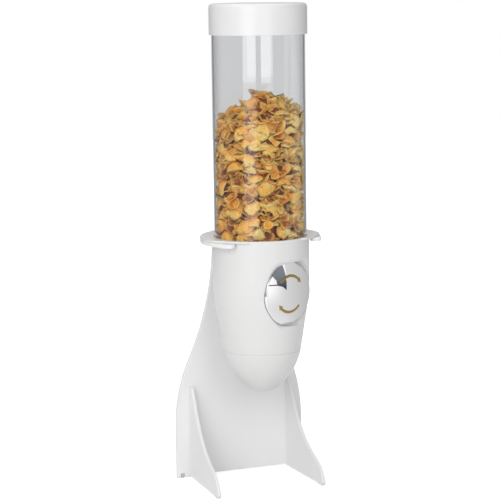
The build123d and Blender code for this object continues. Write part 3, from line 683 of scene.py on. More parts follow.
def seat_skin(inset, grow, floor, edge, columns, heights):
    """Skin of the wall with the knob's seat sunk into it, as rings of points, and its last ring.

    The rings run from a rectangle on the unrolled wall to the lip where the seat's flared mouth meets the
    wall, round the lip as a quadratic curve, down the flare and the bore, and over the seat's floor to the
    bush. The flare widens by a share of its depth that is greatest at the left, and stops short of the ledge
    above.
    """
    h = chosen().housing
    radius = h.seat_radius + grow
    facing = math.atan2(SHAFT_ALONG[1], SHAFT_ALONG[0])
    knob_height = SHAFT[0][2]
    low, high = heights[0], heights[-1]
    sides = len(heights) - 1
    level = len(columns) - 1
    up, down = np.full(sides, columns[-1]), np.full(sides, columns[0])
    edge_angle = np.concatenate([columns[:-1], up, columns[:0:-1], down])
    edge_height = np.concatenate([np.full(level, low), heights[:-1], np.full(level, high), heights[:0:-1]])
    phi = np.arctan2(edge_height - knob_height, (edge_angle - facing) * h.radius)

    def depth(ring, skin=inset):
        """Distance along the shaft at which a circle of this radius about the shaft meets the wall."""
        height = knob_height + ring * np.sin(phi)
        return np.sqrt(wall_radius(height, skin) ** 2 - (ring * np.cos(phi)) ** 2)

    def about_shaft(ring, along, angle=phi):
        """Points on a circle about the shaft at a distance along it."""
        return on_shaft(polar(ring, angle, along))

    # The flare widens the mouth, and a wider mouth is deeper, so both are found in steps of half the way
    flare = np.zeros_like(phi)
    room = h.seat_radius / np.maximum(np.abs(np.sin(phi)), 0.5) - h.seat_radius
    sideways = np.interp(np.cos(phi), [-0.3, 0.5], [h.flare_left, h.flare_left * 0.1])
    for _ in range(12):
        deep = depth(h.seat_radius + flare, 0.0) - h.flare_from
        wanted = (np.abs(np.cos(phi)) * sideways + h.flare_round) * deep
        flare = 0.5 * flare + 0.5 * np.clip(wanted, 0, room)
    softer_above = 1.6 * (inset == 0)
    edge = edge * (1 + softer_above * np.clip(np.sin(phi), 0, 1))

    # On the wall the rings crowd together towards the lip
    lip = radius + flare
    outer = lip + edge
    rim_height = knob_height + outer * np.sin(phi)
    rim_angle = facing + np.arcsin(outer * np.cos(phi) / wall_radius(rim_height, inset))
    rows = []
    for share in np.concatenate([np.linspace(0, 0.9, 12), [0.95, 0.98, 1.0]]):
        angle = edge_angle + (rim_angle - edge_angle) * share
        height = edge_height + (rim_height - edge_height) * share
        rows.append(on_upright(wall_radius(height, inset), angle, height))

    # Round the lip and down the flare
    start, corner = about_shaft(outer, depth(outer)), about_shaft(lip, depth(lip))
    foot = about_shaft(radius, np.minimum(h.flare_from - grow, depth(radius) - edge))
    run = np.linalg.norm(foot - corner, axis=1, keepdims=True)
    end = corner + (foot - corner) * np.minimum(edge[:, None] / run, 0.6)
    for share in np.linspace(0, 1, 8)[1:]:
        rows.append(start * (1 - share) ** 2 + corner * 2 * share * (1 - share) + end * share**2)
    rows += [end + (foot - end) * share for share in (0.3, 0.7, 1.0)]

    # Down the bore and over the floor, where the columns are spaced evenly by then
    foot_along = (foot - SHAFT[0]) @ SHAFT[1][2]
    for share in (0.12, 0.5, 0.92):
        rows.append(about_shaft(radius, foot_along + (floor - foot_along) * share))
    for ring in (radius, radius - 0.4 * MM):
        rows.append(about_shaft(ring, floor))
    spun = phi[0] + np.arange(len(phi)) * 2 * math.pi / len(phi)
    rows.append(about_shaft(radius / 2 + 3 * MM, floor, spun))
    rows += [about_shaft(ring, floor, spun) for ring in (BUSH_HOLE + 0.4 * MM, BUSH_HOLE)]
    points = np.array(rows)
    return (points.reshape(-1, 3), grid_quads(len(points), points.shape[1])), points[-1]


def housing_surface():
    """Closed shell of the housing.

    Outer and inner skins with the seat are joined over the flange at the top, round the groove at the seam,
    and through the bush's hole in the seat's floor.
    """
    h = chosen().housing
    facing = math.atan2(SHAFT_ALONG[1], SHAFT_ALONG[0])
    reach = math.radians(50)
    front = np.linspace(facing - reach, facing + reach, 101)
    behind = np.linspace(facing + reach, facing - reach + 2 * math.pi, 209)
    around = np.concatenate([front, behind[1:-1]])
    base = h.seam + 1.6 * MM
    outer_heights = np.linspace(base, SHELL_HIGH.z - h.flange_thickness - 1.2 * MM, 49)
    inner_heights = np.linspace(base, h.ledge - 0.1 * MM, 49)
    floor_back = h.seat_floor - 2.5 * MM
    outer_skin, outer_hole = seat_skin(0.0, 0.0, h.seat_floor, h.seat_edge, front, outer_heights)
    inner_skin, inner_hole = seat_skin(h.wall, 2.0 * MM, floor_back, 0.3 * MM, front, inner_heights)
    hole = np.vstack([outer_hole, inner_hole])
    sheets = [outer_skin, inner_skin, (hole, grid_quads(2, len(outer_hole)))]
    for inset, heights in ((0.0, outer_heights), (h.wall, inner_heights)):
        column, row = np.meshgrid(behind, heights)
        quads = grid_quads(len(heights), len(behind), close_columns=False)
        sheets.append((on_upright(wall_radius(row, inset), column, row), quads))
    top, under, soft = SHELL_HIGH.z, SHELL_HIGH.z - h.flange_thickness, 0.6 * MM
    out = np.maximum(flange_reach(around), h.radius)
    spare = np.clip(out - h.radius, 0, None)
    low_soft = np.minimum(1.0 * MM, spare)
    arc = np.linspace(0, math.pi / 2, 5)
    rim = [
        (wall_radius(inner_heights[-1], h.wall), inner_heights[-1]),
        (wall_radius(h.ledge, h.wall), h.ledge),
        (h.bore, h.ledge),
        (h.bore, top - soft),
        *((h.bore + soft * (1 - math.cos(a)), top - soft * (1 - math.sin(a))) for a in arc),
        (np.maximum(out - soft - 0.2 * MM, h.bore + 1.1 * soft), top),
        *((out - soft * (1 - math.sin(a)), top - soft * (1 - math.cos(a))) for a in arc),
        *((out - low_soft * (1 - math.cos(a)), under + low_soft * (1 - math.sin(a))) for a in arc),
        (np.maximum(out - low_soft - 0.2 * MM, h.radius), under),
        (h.radius, under),
        (h.radius, outer_heights[-1]),
    ]
    seam_r, bore_r = wall_radius(h.seam, 0.0), wall_radius(h.seam, h.wall)
    foot = [
        (wall_radius(base, 0.0), base),
        *((wall_radius(h.seam + rise, 0.0), h.seam + rise) for rise in (0.8 * MM, h.groove)),
        (seam_r - h.groove, h.seam),
        (bore_r + 0.3 * MM, h.seam),
        (bore_r, h.seam),
        (wall_radius(base, h.wall), base),
    ]
    for strip in (rim, foot):
        radii, heights = (np.array([pair[k] + 0 * around for pair in strip]) for k in range(2))
        sheets.append((on_upright(radii, around, heights), grid_quads(len(strip), len(around))))
    return joined(*sheets)


class DISPENSER_OT_housing(Operator):
    """Bullet-shaped housing with its flange and the knob's round seat"""

    bl_idname = "dispenser.housing"
    bl_label = "Housing"

    def execute(self, context):
        settings = context.scene.dispenser.housing
        points, quads = housing_surface()
        finish = plastic_finish("housing plastic", settings.colour, gloss=0.3)
        # Painted shade just round the right side of the knob's seat
        painted_seat_shade(finish.node_tree, finish.node_tree.nodes["Principled BSDF"], settings.seat_radius)
        make_piece("housing_wall", points, quads, "housing", finish, ["housing_shell"])
        return {"FINISHED"}


def nose_chart(inset):
    """Outline of the nose a distance inside its face, from the tip up to the seam.

    It gives the length along the outline, the radius and the height. The tip is an arc centred on the axis,
    and the flank an arc tangent to it.
    """
    h = chosen().housing
    seam_r = float(wall_radius(np.array(h.seam), 0.0))
    flank_r = h.flank_arc - inset
    leaning = np.array([math.cos(h.nose_lean), -math.sin(h.nose_lean)])
    middle = np.array([seam_r, h.seam]) - h.flank_arc * leaning
    joint = middle + flank_r * np.array([math.cos(h.flank_lean), -math.sin(h.flank_lean)])
    tip_r = joint[0] / math.cos(h.flank_lean)
    tip_middle = joint[1] + tip_r * math.sin(h.flank_lean)
    lean = np.linspace(math.pi / 2, h.flank_lean, 60)
    tip = np.stack([tip_r * np.cos(lean), tip_middle - tip_r * np.sin(lean)], axis=-1)
    lean = np.linspace(h.flank_lean, h.nose_lean, 60)[1:]
    flank = middle + flank_r * np.stack([np.cos(lean), -np.sin(lean)], axis=-1)
    outline = np.vstack([tip, flank])
    run = np.concatenate([[0], np.cumsum(np.linalg.norm(np.diff(outline, axis=0), axis=1))])
    return run, outline[:, 0], outline[:, 1]


def nose_skin(inset, mouth_gap, around, rows):
    """Skin of the nose as a ring of points.

    In a chart where a point lies at its length along the outline from the tip, at its own angle, straight
    lines run from the seam's circle to the edge of the mouth. That edge is where a plane that rises one for
    one backwards meets the skin, found by halving.
    """
    h = chosen().housing
    run, radii, heights = nose_chart(inset)
    rim = run[-1] * np.stack([np.cos(around), np.sin(around)], axis=-1)
    # A place of the chart inside the mouth, from which each straight line leaves the mouth once
    middle = np.array([0.0, run[-1] * 0.36])

    def lifted(flat):
        """Radius, angle and height of points of the chart."""
        along = np.linalg.norm(flat, axis=-1)
        angle = np.arctan2(flat[..., 1], flat[..., 0])
        return np.interp(along, run, radii), angle, np.interp(along, run, heights)

    def in_mouth(share):
        """True where the point this share of the way from the middle to the rim is cut away."""
        radius, angle, height = lifted(middle + (rim - middle) * share[:, None])
        return radius * np.sin(angle) - h.mouth > height - NOSE_LOW.z

    near, far = np.zeros(len(around)), np.ones(len(around))
    for _ in range(30):
        half = (near + far) / 2
        cut = in_mouth(half)
        near, far = np.where(cut, half, near), np.where(cut, far, half)
    edge = middle + (rim - middle) * far[:, None]
    edge_out = edge + (rim - edge) * (mouth_gap / np.linalg.norm(rim - edge, axis=1))[:, None]
    share = (np.linspace(0, 1, rows) ** 1.2)[:, None, None]
    radius, angle, height = lifted(rim + (edge_out - rim) * share)
    skin = on_upright(radius, angle, height).reshape(rows, -1, 3)
    radius, angle, height = lifted(edge)
    return skin, on_upright(radius, angle, height)


def nose_surface():
    """Closed nose: outer skin, the mouth's rounded rim, inner skin, and the spigot inside the housing."""
    h = chosen().housing
    around = np.arange(240) * 2 * math.pi / 240
    mouth_rounding = 0.45 * MM
    outer, outer_edge = nose_skin(0.0, mouth_rounding, around, 30)
    inner, inner_edge = nose_skin(h.nose_wall, mouth_rounding, around, 30)
    across = inner_edge - outer_edge
    lip = [outer_edge + across * share for share in (0.07, 0.18, 0.82, 0.93)]
    lip = [outer[-1] * 0.3 + lip[0] * 0.7, *lip, inner[-1] * 0.3 + lip[3] * 0.7]
    seam_r = float(wall_radius(np.array(h.seam), 0.0))
    bore_r = float(wall_radius(np.array(h.seam), h.wall)) - 0.03 * MM
    inner_top = np.linalg.norm((inner[0] - UPRIGHT[0])[0, :2])
    spigot = [
        (inner_top, inner[0][0, 2]),
        (bore_r - 1.8 * MM, h.seam - 1.2 * MM),
        (bore_r - 1.8 * MM, NOSE_HIGH.z - 0.3 * MM),
        (bore_r - 1.5 * MM, NOSE_HIGH.z),
        (bore_r - 0.3 * MM, NOSE_HIGH.z),
        (bore_r, NOSE_HIGH.z - 0.3 * MM),
        (bore_r, h.seam),
        (seam_r - h.groove, h.seam),
    ]
    strip = [on_upright(radius, around, height) for radius, height in spigot]
    groove_r = seam_r - h.groove * math.tan(h.nose_lean)
    outer[0] = on_upright(groove_r, around, h.seam - h.groove)
    rows = np.array([*outer, *lip, *inner[::-1], *strip[1:]])
    return rows.reshape(-1, 3), grid_quads(len(rows), len(around), close_rows=True)


class DISPENSER_OT_nose(Operator):
    """Rounded nose under the housing, with the slanted mouth at its back"""

    bl_idname = "dispenser.nose"
    bl_label = "Nose"

    def execute(self, context):
        settings = context.scene.dispenser.housing
        points, quads = nose_surface()
        finish = plastic_finish("nose plastic", settings.colour, gloss=0.3)
        make_piece("nose_cup", points, quads, "housing", finish, ["nose_spout"])
        return {"FINISHED"}


# Canister, lid and flakes


class DISPENSER_OT_canister(Operator):
    """Clear tube and the white lid pushed over it"""

    bl_idname = "dispenser.canister"
    bl_label = "Canister and lid"

    def execute(self, context):
        c = context.scene.dispenser.canister
        inner = c.radius - c.wall
        corners = [
            (c.radius, TUBE_LOW.z, c.edge),
            (c.radius, TUBE_HIGH.z, c.edge),
            (inner, TUBE_HIGH.z, c.edge),
            (inner, TUBE_LOW.z, c.edge),
        ]
        points, quads = turned(softened(corners), UPRIGHT, closed=True)
        finish = clear_finish("clear acrylic", c.tint)
        make_piece("canister_wall", points, quads, "canister", finish, ["canister_tube"])
        out = (LID_HIGH.x - LID_LOW.x) / 2
        hollow = out - c.lid_wall
        corners = [
            (0.0, LID_HIGH.z, 0.0),
            (out, LID_HIGH.z, c.lid_edge),
            (out, LID_LOW.z, 0.5 * MM),
            (hollow, LID_LOW.z, 0.4 * MM),
            (hollow, LID_HIGH.z - c.lid_top, 0.8 * MM),
            (0.0, LID_HIGH.z - c.lid_top, 0.0),
        ]
        points, quads = turned(softened(corners, steps=10), UPRIGHT)
        finish = plastic_finish("lid plastic", c.lid_colour, gloss=0.24)
        make_piece("lid_shell", points, quads, "lid", finish, ["lid_cap"])
        return {"FINISHED"}


def to_right(x, y):
    """How far a place lies to the right of the upright axis, as the camera sees it."""
    return 0.93 * x - 0.37 * y


def heap_height(x, y):
    """Height of the heap at a place: a peak that falls off with the distance, with a lean to the right."""
    away, drop = [0, 8, 14, 22, 30, 38, 47], [0, 3, 7, 12, 17, 26, 40]
    fall = np.interp(np.hypot(x, y) / MM, away, drop) * MM
    return HEAP_HIGH.z - fall + chosen().flakes.lean * to_right(x, y)


def flake_shapes(count, random, f):
    """Curled flakes, with marks for the rim, where a highlight is painted, and for the hollow side, where
    shade is painted.

    In a flake's own plane a point lies at (a cos t, b sin t) times its share of the way out and an outline of
    three waves. The plane is then rolled across into an arc of a random radius, dished lengthwise, and its
    rim waved. A second layer below gives the thickness, which dies out at the rim.
    """
    rings = np.array([0.0, 0.48, 0.84, 1.0])
    sectors = 12
    angle = np.arange(sectors) * 2 * math.pi / sectors
    share, t = (grid.ravel() for grid in np.meshgrid(rings[1:], angle, indexing="ij"))
    share, t = np.append(0.0, share), np.append(0.0, t)

    def each(low, high):
        """One random number per flake."""
        return random.uniform(low, high, (count, 1))

    outline = np.ones_like(share)
    for waves, most in ((2, 0.11), (3, 0.12), (5, 0.10)):
        outline = outline + share * each(0.2 * most, most) * np.cos(waves * t + each(0, 6.3))
    size = random.normal(1.0, 0.2, (count, 1)).clip(0.6, 1.5)
    x = f.half_long * size * each(0.85, 1.2) * share * outline * np.cos(t)
    y = f.half_short * size * each(0.75, 1.15) * share * outline * np.sin(t)
    curl = each(60, 165)
    z = (1 - np.cos(curl * y)) / curl + each(25, 85) * x**2
    z = z + share**2 * each(0.6 * MM, 2.3 * MM) * np.cos(random.integers(3, 6, (count, 1)) * t + each(0, 6.3))
    z = z + share * each(0.2 * MM, 0.6 * MM) * np.sin(each(500, 900) * x + each(0, 6.3))
    y = np.sin(curl * y) / curl
    half = f.thickness / 2 * (1 - share**5)
    top = np.stack([x, y, z + half], axis=-1)
    bottom = np.stack([x, y, z - half], axis=-1)[:, : 1 + 2 * sectors]
    points = np.concatenate([top, bottom], axis=1)
    ring = np.arange(sectors)
    after = (ring + 1) % sectors
    outer_top, low = 1 + 2 * sectors, 1 + 3 * sectors
    outer_low = low + 1 + sectors

    def quads(*corners):
        """A ring of quads from four corners, each a first number and the sectors that are added to it."""
        return np.stack([first + step for first, step in corners], axis=-1)

    still = 0 * ring
    faces = [
        quads((0, still), (1, ring), (1, after), (0, still)),
        quads((1, ring), (1 + sectors, ring), (1 + sectors, after), (1, after)),
        quads((1 + sectors, ring), (outer_top, ring), (outer_top, after), (1 + sectors, after)),
        quads((low, still), (low + 1, after), (low + 1, ring), (low, still)),
        quads((low + 1, ring), (low + 1, after), (outer_low, after), (outer_low, ring)),
        quads((outer_low, ring), (outer_low, after), (outer_top, after), (outer_top, ring)),
    ]
    # Marks for the painted highlight along the rim and for the painted shade on the hollow side, the top
    # layer
    rim = np.append(share, share[: 1 + 2 * sectors])
    hollow = np.append(1 - share**3, np.zeros(1 + 2 * sectors))
    return points, np.vstack(faces), rim, hollow


def turned_to(points, normals, random):
    """Points of each flake turned so that its own z axis becomes its normal, after a random spin about it."""
    helper = np.where(np.abs(normals[:, 2:]) > 0.9, [[1.0, 0, 0]], [[0, 0, 1.0]])
    side = np.cross(helper, normals)
    side /= np.linalg.norm(side, axis=1, keepdims=True)
    other = np.cross(normals, side)
    spin = random.uniform(0, 2 * math.pi, (len(normals), 1))
    first = np.cos(spin) * side + np.sin(spin) * other
    second = np.cross(normals, first)
    return np.einsum("fvk,fkc->fvc", points, np.stack([first, second, normals], axis=1))


def flake_heap(name, count, where, material, seed):
    """A piece of many flakes.

    Each is turned near the normal of its place with a random tilt, moved to the place, and shifted across
    until its outermost point lies at its depth behind the tube's wall. One that lies over the top is only
    pushed in. What still stands into the wall is pressed flat against it.
    """
    gap, give, turned_over = 0.25 * MM, 1 * MM, 0.2
    f = chosen().flakes
    random = np.random.default_rng(seed)
    points, faces, rim, hollow = flake_shapes(count, random, f)
    centres, normals, depth, drawn = where(count, random)
    normals = normals + random.normal(0, f.tilt, (count, 3))
    normals /= np.linalg.norm(normals, axis=1, keepdims=True)
    normals *= np.where(random.uniform(size=(count, 1)) < turned_over, -1, 1)
    points = turned_to(points, normals, random) + centres[:, None]
    tube = chosen().canister
    wall = tube.radius - tube.wall - gap
    limit = wall + f.press - depth if drawn else wall - depth
    # A push can bring another point of the flake outermost, so it is repeated
    for _ in range(4):
        distance = np.hypot(points[..., 0], points[..., 1])
        worst = distance.argmax(axis=1)
        far = points[np.arange(count), worst, :2]
        reach = np.linalg.norm(far, axis=1)
        push = reach - limit if drawn else np.clip(reach - limit, 0, None)
        points[..., :2] -= (far / reach[:, None] * push[:, None])[:, None]
    distance = np.hypot(points[..., 0], points[..., 1])
    free = wall - give
    pressed = np.where(distance > free, wall - give * np.exp((free - distance) / give), distance)
    points[..., :2] *= (pressed / np.maximum(distance, 1e-6))[..., None]
    middle = points.mean(axis=1)
    over = points[..., 2].max(axis=1) - heap_height(middle[:, 0], middle[:, 1]) - f.stand_out
    points[..., 2] -= np.clip(over, 0, None)[:, None]
    low = points[..., 2].min(axis=1)
    points[..., 2] += np.clip(HEAP_LOW.z + 0.2 * MM - low, 0, None)[:, None]
    # Painted light: flakes towards the right get a lower tone and are painted paler, those towards the left
    # darker
    painted_light_side = to_right(middle[:, :1], middle[:, 1:2]) / wall
    tone = random.beta(1.6, 3.1, (count, 1)) - 0.3 * painted_light_side.clip(-1, 0.7)
    marks = {
        "tone": np.repeat(tone, points.shape[1], axis=1).ravel(),
        "rim": np.tile(rim, count),
        "hollow": np.tile(hollow, count),
    }
    quads = (faces[None] + (np.arange(count) * points.shape[1])[:, None, None]).reshape(-1, 4)
    points = UPRIGHT[0] + points.reshape(-1, 3)
    make_piece(name, points, quads, "canister", material, ["cereal_fill"], marks)


def golden_steps(count, start):
    """Pairs of numbers from 0 to 1 that fill a square evenly."""
    n = np.arange(count) + start
    return (n * 0.7548776662) % 1, (n * 0.5698402910) % 1


def along_wall(depth_low, depth_high):
    """Places along the tube's wall from its bottom up to the heap's edge."""

    def where(count, random):
        """Centres, normals that point up and some way outwards, and depths behind the wall."""
        a, b = golden_steps(count, 0.5)
        angle = a * 2 * math.pi
        depth = random.uniform(depth_low, depth_high, count)
        radius = 41 * MM - depth
        x, y = radius * np.cos(angle), radius * np.sin(angle)
        top = heap_height(x, y) - 5 * MM
        z = HEAP_LOW.z + 2 * MM + b * (top - HEAP_LOW.z - 2 * MM)
        out = polar(1.0, angle, 0.0) * random.uniform(-0.3, 1.6, (count, 1)) + [[0.0, 0.0, 1.0]]
        return np.stack([x, y, z], axis=-1), out, depth, True

    return where


def over_top(count, random):
    """Places over the heap's top, nearly level."""
    a, b = golden_steps(count, 0.25)
    radius, angle = 44 * MM * np.sqrt(a), b * 2 * math.pi
    x, y = radius * np.cos(angle), radius * np.sin(angle)
    z = heap_height(x, y) - random.uniform(3 * MM, 7 * MM, count)
    out = polar(0.5, angle, 1.0)
    return np.stack([x, y, z], axis=-1), out, random.uniform(0, 2 * MM, count), False


def heap_shade_core():
    """Closed dark body inside the flakes, standing for the shade between them, in rings of points.

    The rings run out under the heap's top, down a side that is rippled by a twentieth of its radius, and over
    a flat bottom to the axis.
    """
    sectors, rows, over_rows, below = 96, 40, 14, 6 * MM
    angle = np.arange(sectors) * 2 * math.pi / sectors
    out = np.concatenate([np.linspace(0, 36, over_rows), np.full(rows - over_rows, 38.0)]) * MM
    down = np.concatenate([np.zeros(over_rows), np.linspace(0.02, 1, rows - over_rows - 1), [1.0]])
    out[-1] = 0.0
    wave = 1 + 0.05 * np.sin(5 * angle[None] + 40 * down[:, None]) * np.cos(9 * angle[None])
    radius = out[:, None] * np.where(down[:, None] < 1, wave, 1)
    top = heap_height(radius * np.cos(angle), radius * np.sin(angle)) - below
    height = top + (HEAP_LOW.z + 1 * MM - top) * down[:, None]
    return on_upright(radius, angle, height), grid_quads(rows, sectors)


class DISPENSER_OT_flakes(Operator):
    """Toasted flakes heaped in the canister"""

    bl_idname = "dispenser.flakes"
    bl_label = "Flakes"

    def execute(self, context):
        f = context.scene.dispenser.flakes
        material = flake_finish("toasted flakes", f.pale, f.golden, f.dark)
        flake_heap("flakes_by_wall", f.wall_count, along_wall(0.0, 3.5 * MM), material, f.seed)
        flake_heap("flakes_behind", f.inner_count, along_wall(3.5 * MM, 8 * MM), material, f.seed + 1)
        flake_heap("flakes_on_top", f.top_count, over_top, material, f.seed + 2)
        points, quads = heap_shade_core()
        # The core takes the darkest tone and a full hollow mark, as painted shade between the flakes
        levels = {"tone": 1.3, "rim": 0.0, "hollow": 1.0}
        marks = {mark: np.full(len(points), level) for mark, level in levels.items()}
        make_piece("flakes_shade_core", points, quads, "canister", material, ["cereal_fill"], marks)
        return {"FINISHED"}


# Knob


def dome_radius():
    """Radius of the sphere through the dome's apex and its rim."""
    k = chosen().knob
    rise = k.apex - k.rim
    return (k.radius**2 + rise**2) / (2 * rise)


def dome_height(radius, inset=0.0):
    """Distance of the dome from the upright axis at a radius, less an inset along the sphere's own radius."""
    sphere = dome_radius()
    middle = chosen().knob.apex - sphere
    return middle + np.sqrt((sphere - inset) ** 2 - np.asarray(radius) ** 2)


def arrow_surface(turned_by):
    """One raised arrow on the dome.

    Its outline follows a ring at a half width that is constant along the line, steps out at the head and
    runs to a point. The section across is a low table with sloped sides, set on the dome.
    """
    k = chosen().knob
    sweep = k.start - k.end
    tip = k.head / k.ring
    line, pointed = np.linspace(0.03, sweep, 40), np.linspace(0.02, 0.99, 9) * tip + sweep
    along = np.concatenate([[0.0, 0.012], line, [sweep + 1e-5], pointed])
    half = np.where(along <= sweep, k.stroke / 2, k.head_width / 2 * (1 - (along - sweep) / tip))

    # The line begins a little narrower, so its end has soft corners
    half[0] *= 0.85
    across = np.array([-1.0, -0.8, -0.4, 0.4, 0.8, 1.0, 0.6, -0.6])
    raised = np.array([0.0, 1.0, 1.0, 1.0, 1.0, 0.0, -0.4, -0.4])
    angle = k.start - along + turned_by
    radius = k.ring + half[:, None] * across
    height = dome_height(radius) + k.lift * raised
    local = polar(radius, angle[:, None], height)
    ends = local[[0, -1]].mean(axis=1, keepdims=True).repeat(len(across), axis=1)
    local = np.concatenate([ends[:1], local, ends[1:]])
    return on_shaft(local.reshape(-1, 3)), grid_quads(len(local), len(across))


def cap_outline():
    """Outline of the bright cap as (radius, distance) points.

    It runs over the dome, round the corner as an arc tangent to the dome, down the side to the back edge, and
    along the hollow behind, which follows the dome a wall's thickness inside.
    """
    k = chosen().knob
    lean = math.asin(k.radius / dome_radius())
    corner_r = k.radius - k.edge
    corner_at = float(dome_height(corner_r)) - k.edge * math.cos(lean) * 0.98
    flat = np.linspace(0, corner_r - 0.05 * MM, 48)
    front = np.stack([flat, dome_height(flat)], axis=-1)
    bend = np.linspace(lean, math.pi / 2, 10)
    corner = np.stack([corner_r + k.edge * np.sin(bend), corner_at + k.edge * np.cos(bend)], axis=-1)
    corner = corner[corner[:, 0] > flat[-1] + 0.02 * MM]
    side = [
        (k.radius, corner_at - 0.2 * MM),
        (k.radius, k.back + 0.5 * MM),
        (k.radius - 0.3 * MM, k.back),
        (k.radius - k.wall, k.back),
    ]
    hollow = np.linspace(k.radius - k.wall, 0, 16)
    back = np.stack([hollow, dome_height(hollow, k.wall)], axis=-1)
    return np.vstack([front, corner, side, back])


class DISPENSER_OT_knob(Operator):
    """Bright domed knob and the two arrows on it"""

    bl_idname = "dispenser.knob"
    bl_label = "Knob"

    def execute(self, context):
        k = context.scene.dispenser.knob
        points, quads = turned(cap_outline(), SHAFT)
        finish = chrome_finish("knob chrome")
        make_piece("knob_dome", points, quads, "rotor", finish, ["knob_cap"])
        speckle = {"mottling": 0.12, "grain": 3000.0}
        ink = plastic_finish("arrow ink", k.arrow_colour, gloss=0.3, **speckle, Metallic=0.55)
        points, quads = joined(arrow_surface(0.0), arrow_surface(math.pi))
        make_piece("knob_arrows", points, quads, "rotor", ink, ["direction_arrows"])
        return {"FINISHED"}


# Stand and mechanism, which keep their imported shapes


def dress(names, material):
    """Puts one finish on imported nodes."""
    for name in names:
        mesh = frame["nodes"][name].data
        mesh.materials.clear()
        mesh.materials.append(material)


class DISPENSER_OT_stand(Operator):
    """Finishes of the back plate, the fins, the yoke, the feet and the screws"""

    bl_idname = "dispenser.stand"
    bl_label = "Stand"

    def execute(self, context):
        s = context.scene.dispenser.stand
        finish = plastic_finish("stand plastic", s.colour, gloss=0.36)
        dress(["back_plate", "left_fin", "right_fin", "yoke"], finish)
        for node, name, base in (("plate_feet", "foot rubber", s.rubber), ("fin_feet", "pad rubber", s.pad)):
            dress([node], plastic_finish(name, base, gloss=0.7, mottling=0.06, grain=2600.0, depth=0.06 * MM))
        dress(["yoke_screws"], metal_finish("zinc screw", s.steel))
        return {"FINISHED"}


class DISPENSER_OT_mechanism(Operator):
    """Finishes of the funnel, the chamber, the wheel, the shaft and the seals"""

    bl_idname = "dispenser.mechanism"
    bl_label = "Mechanism"

    def execute(self, context):
        s = context.scene.dispenser.stand
        dress(["funnel", "metering_chamber"], plastic_finish("inner plastic", s.inner, gloss=0.45))
        finish = plastic_finish("bush plastic", [c * 0.9 for c in s.inner], gloss=0.5)
        dress(["front_bush", "rear_bush", "paddle_hub", "knob_core"], finish)
        finish = plastic_finish("seal silicone", s.seal, gloss=0.55, mottling=0.04, depth=0.04 * MM)
        dress(["paddle_vanes", "canister_seal", "lid_seal"], finish)
        dress(["drive_shaft", "shaft_clip", "knob_screw"], metal_finish("turned steel", s.steel))
        return {"FINISHED"}


# Stage


def beside(azimuth, distance, height):
    """A place at a distance from the canister's axis, its azimuth in degrees from the front to the right."""
    a = math.radians(azimuth)
    return distance * math.sin(a), UPRIGHT[0][1] - distance * math.cos(a), height


def soft_lamp(name, place, target, size, power):
    """Area lamp at a place, facing a target, seen in reflections but not by the camera."""
    lamp = bpy.data.lights.new(name, "AREA")
    lamp.shape, lamp.size, lamp.size_y = "RECTANGLE", size[0], size[1]
    lamp.energy = power
    holder = bpy.data.objects.new(name, lamp)
    holder.location = place
    holder.rotation_euler = (Vector(target) - Vector(place)).to_track_quat("-Z", "Y").to_euler()
    holder.visible_camera = False
    bpy.context.scene.collection.objects.link(holder)


def studio_object(name, points, faces):
    """An object of the studio, which is no part of the dispenser."""
    mesh = bpy.data.meshes.new(name)
    mesh.from_pydata([tuple(p) for p in points], [], [tuple(f) for f in faces])
    thing = bpy.data.objects.new(name, mesh)
    bpy.context.scene.collection.objects.link(thing)
    return thing


def glowing_card(name, points, faces, glow, tint=(1.0, 1.0, 1.0), through=False):
    """A card that shows either in reflections or through glass, and shines as its glow mark says."""
    card = studio_object(name, points, faces)
    layer = card.data.attributes.new("glow", "FLOAT", "POINT")
    layer.data.foreach_set("value", np.asarray(glow, dtype=np.float32))
    material = bpy.data.materials.new(name)
    material.use_nodes = True
    tree = material.node_tree
    tree.nodes.clear()
    light = wire(tree, "ShaderNodeEmission", tint, own_mark(tree, "glow"))
    wire(tree, "ShaderNodeOutputMaterial", light.outputs[0])
    card.data.materials.append(material)
    card.visible_camera = card.visible_diffuse = card.visible_shadow = False
    card.visible_transmission = through
    card.visible_glossy = not through


def mirrored(side, up, reach):
    """Where the camera's ray goes after it meets the knob's dome at a place side and up of the shaft, in mm.

    The ray is turned about the dome's normal and followed for the reach, or until just above the floor.
    """
    side, up = np.asarray(side) * MM, np.asarray(up) * MM
    sphere = dome_radius()
    height = dome_height(np.hypot(side, up))
    place = on_shaft(np.stack([side, up, height], axis=-1))
    above = height - chosen().knob.apex + sphere
    normal = np.stack([side, up, above], axis=-1) @ SHAFT[1] / sphere
    ray = place - np.array(chosen().stage.eye)
    ray /= np.linalg.norm(ray, axis=-1, keepdims=True)
    ray -= 2 * (ray * normal).sum(axis=-1, keepdims=True) * normal
    fall = np.maximum(-ray[..., 2:], 1e-4)
    return place + ray * np.minimum(reach, 0.92 * place[..., 2:] / fall)


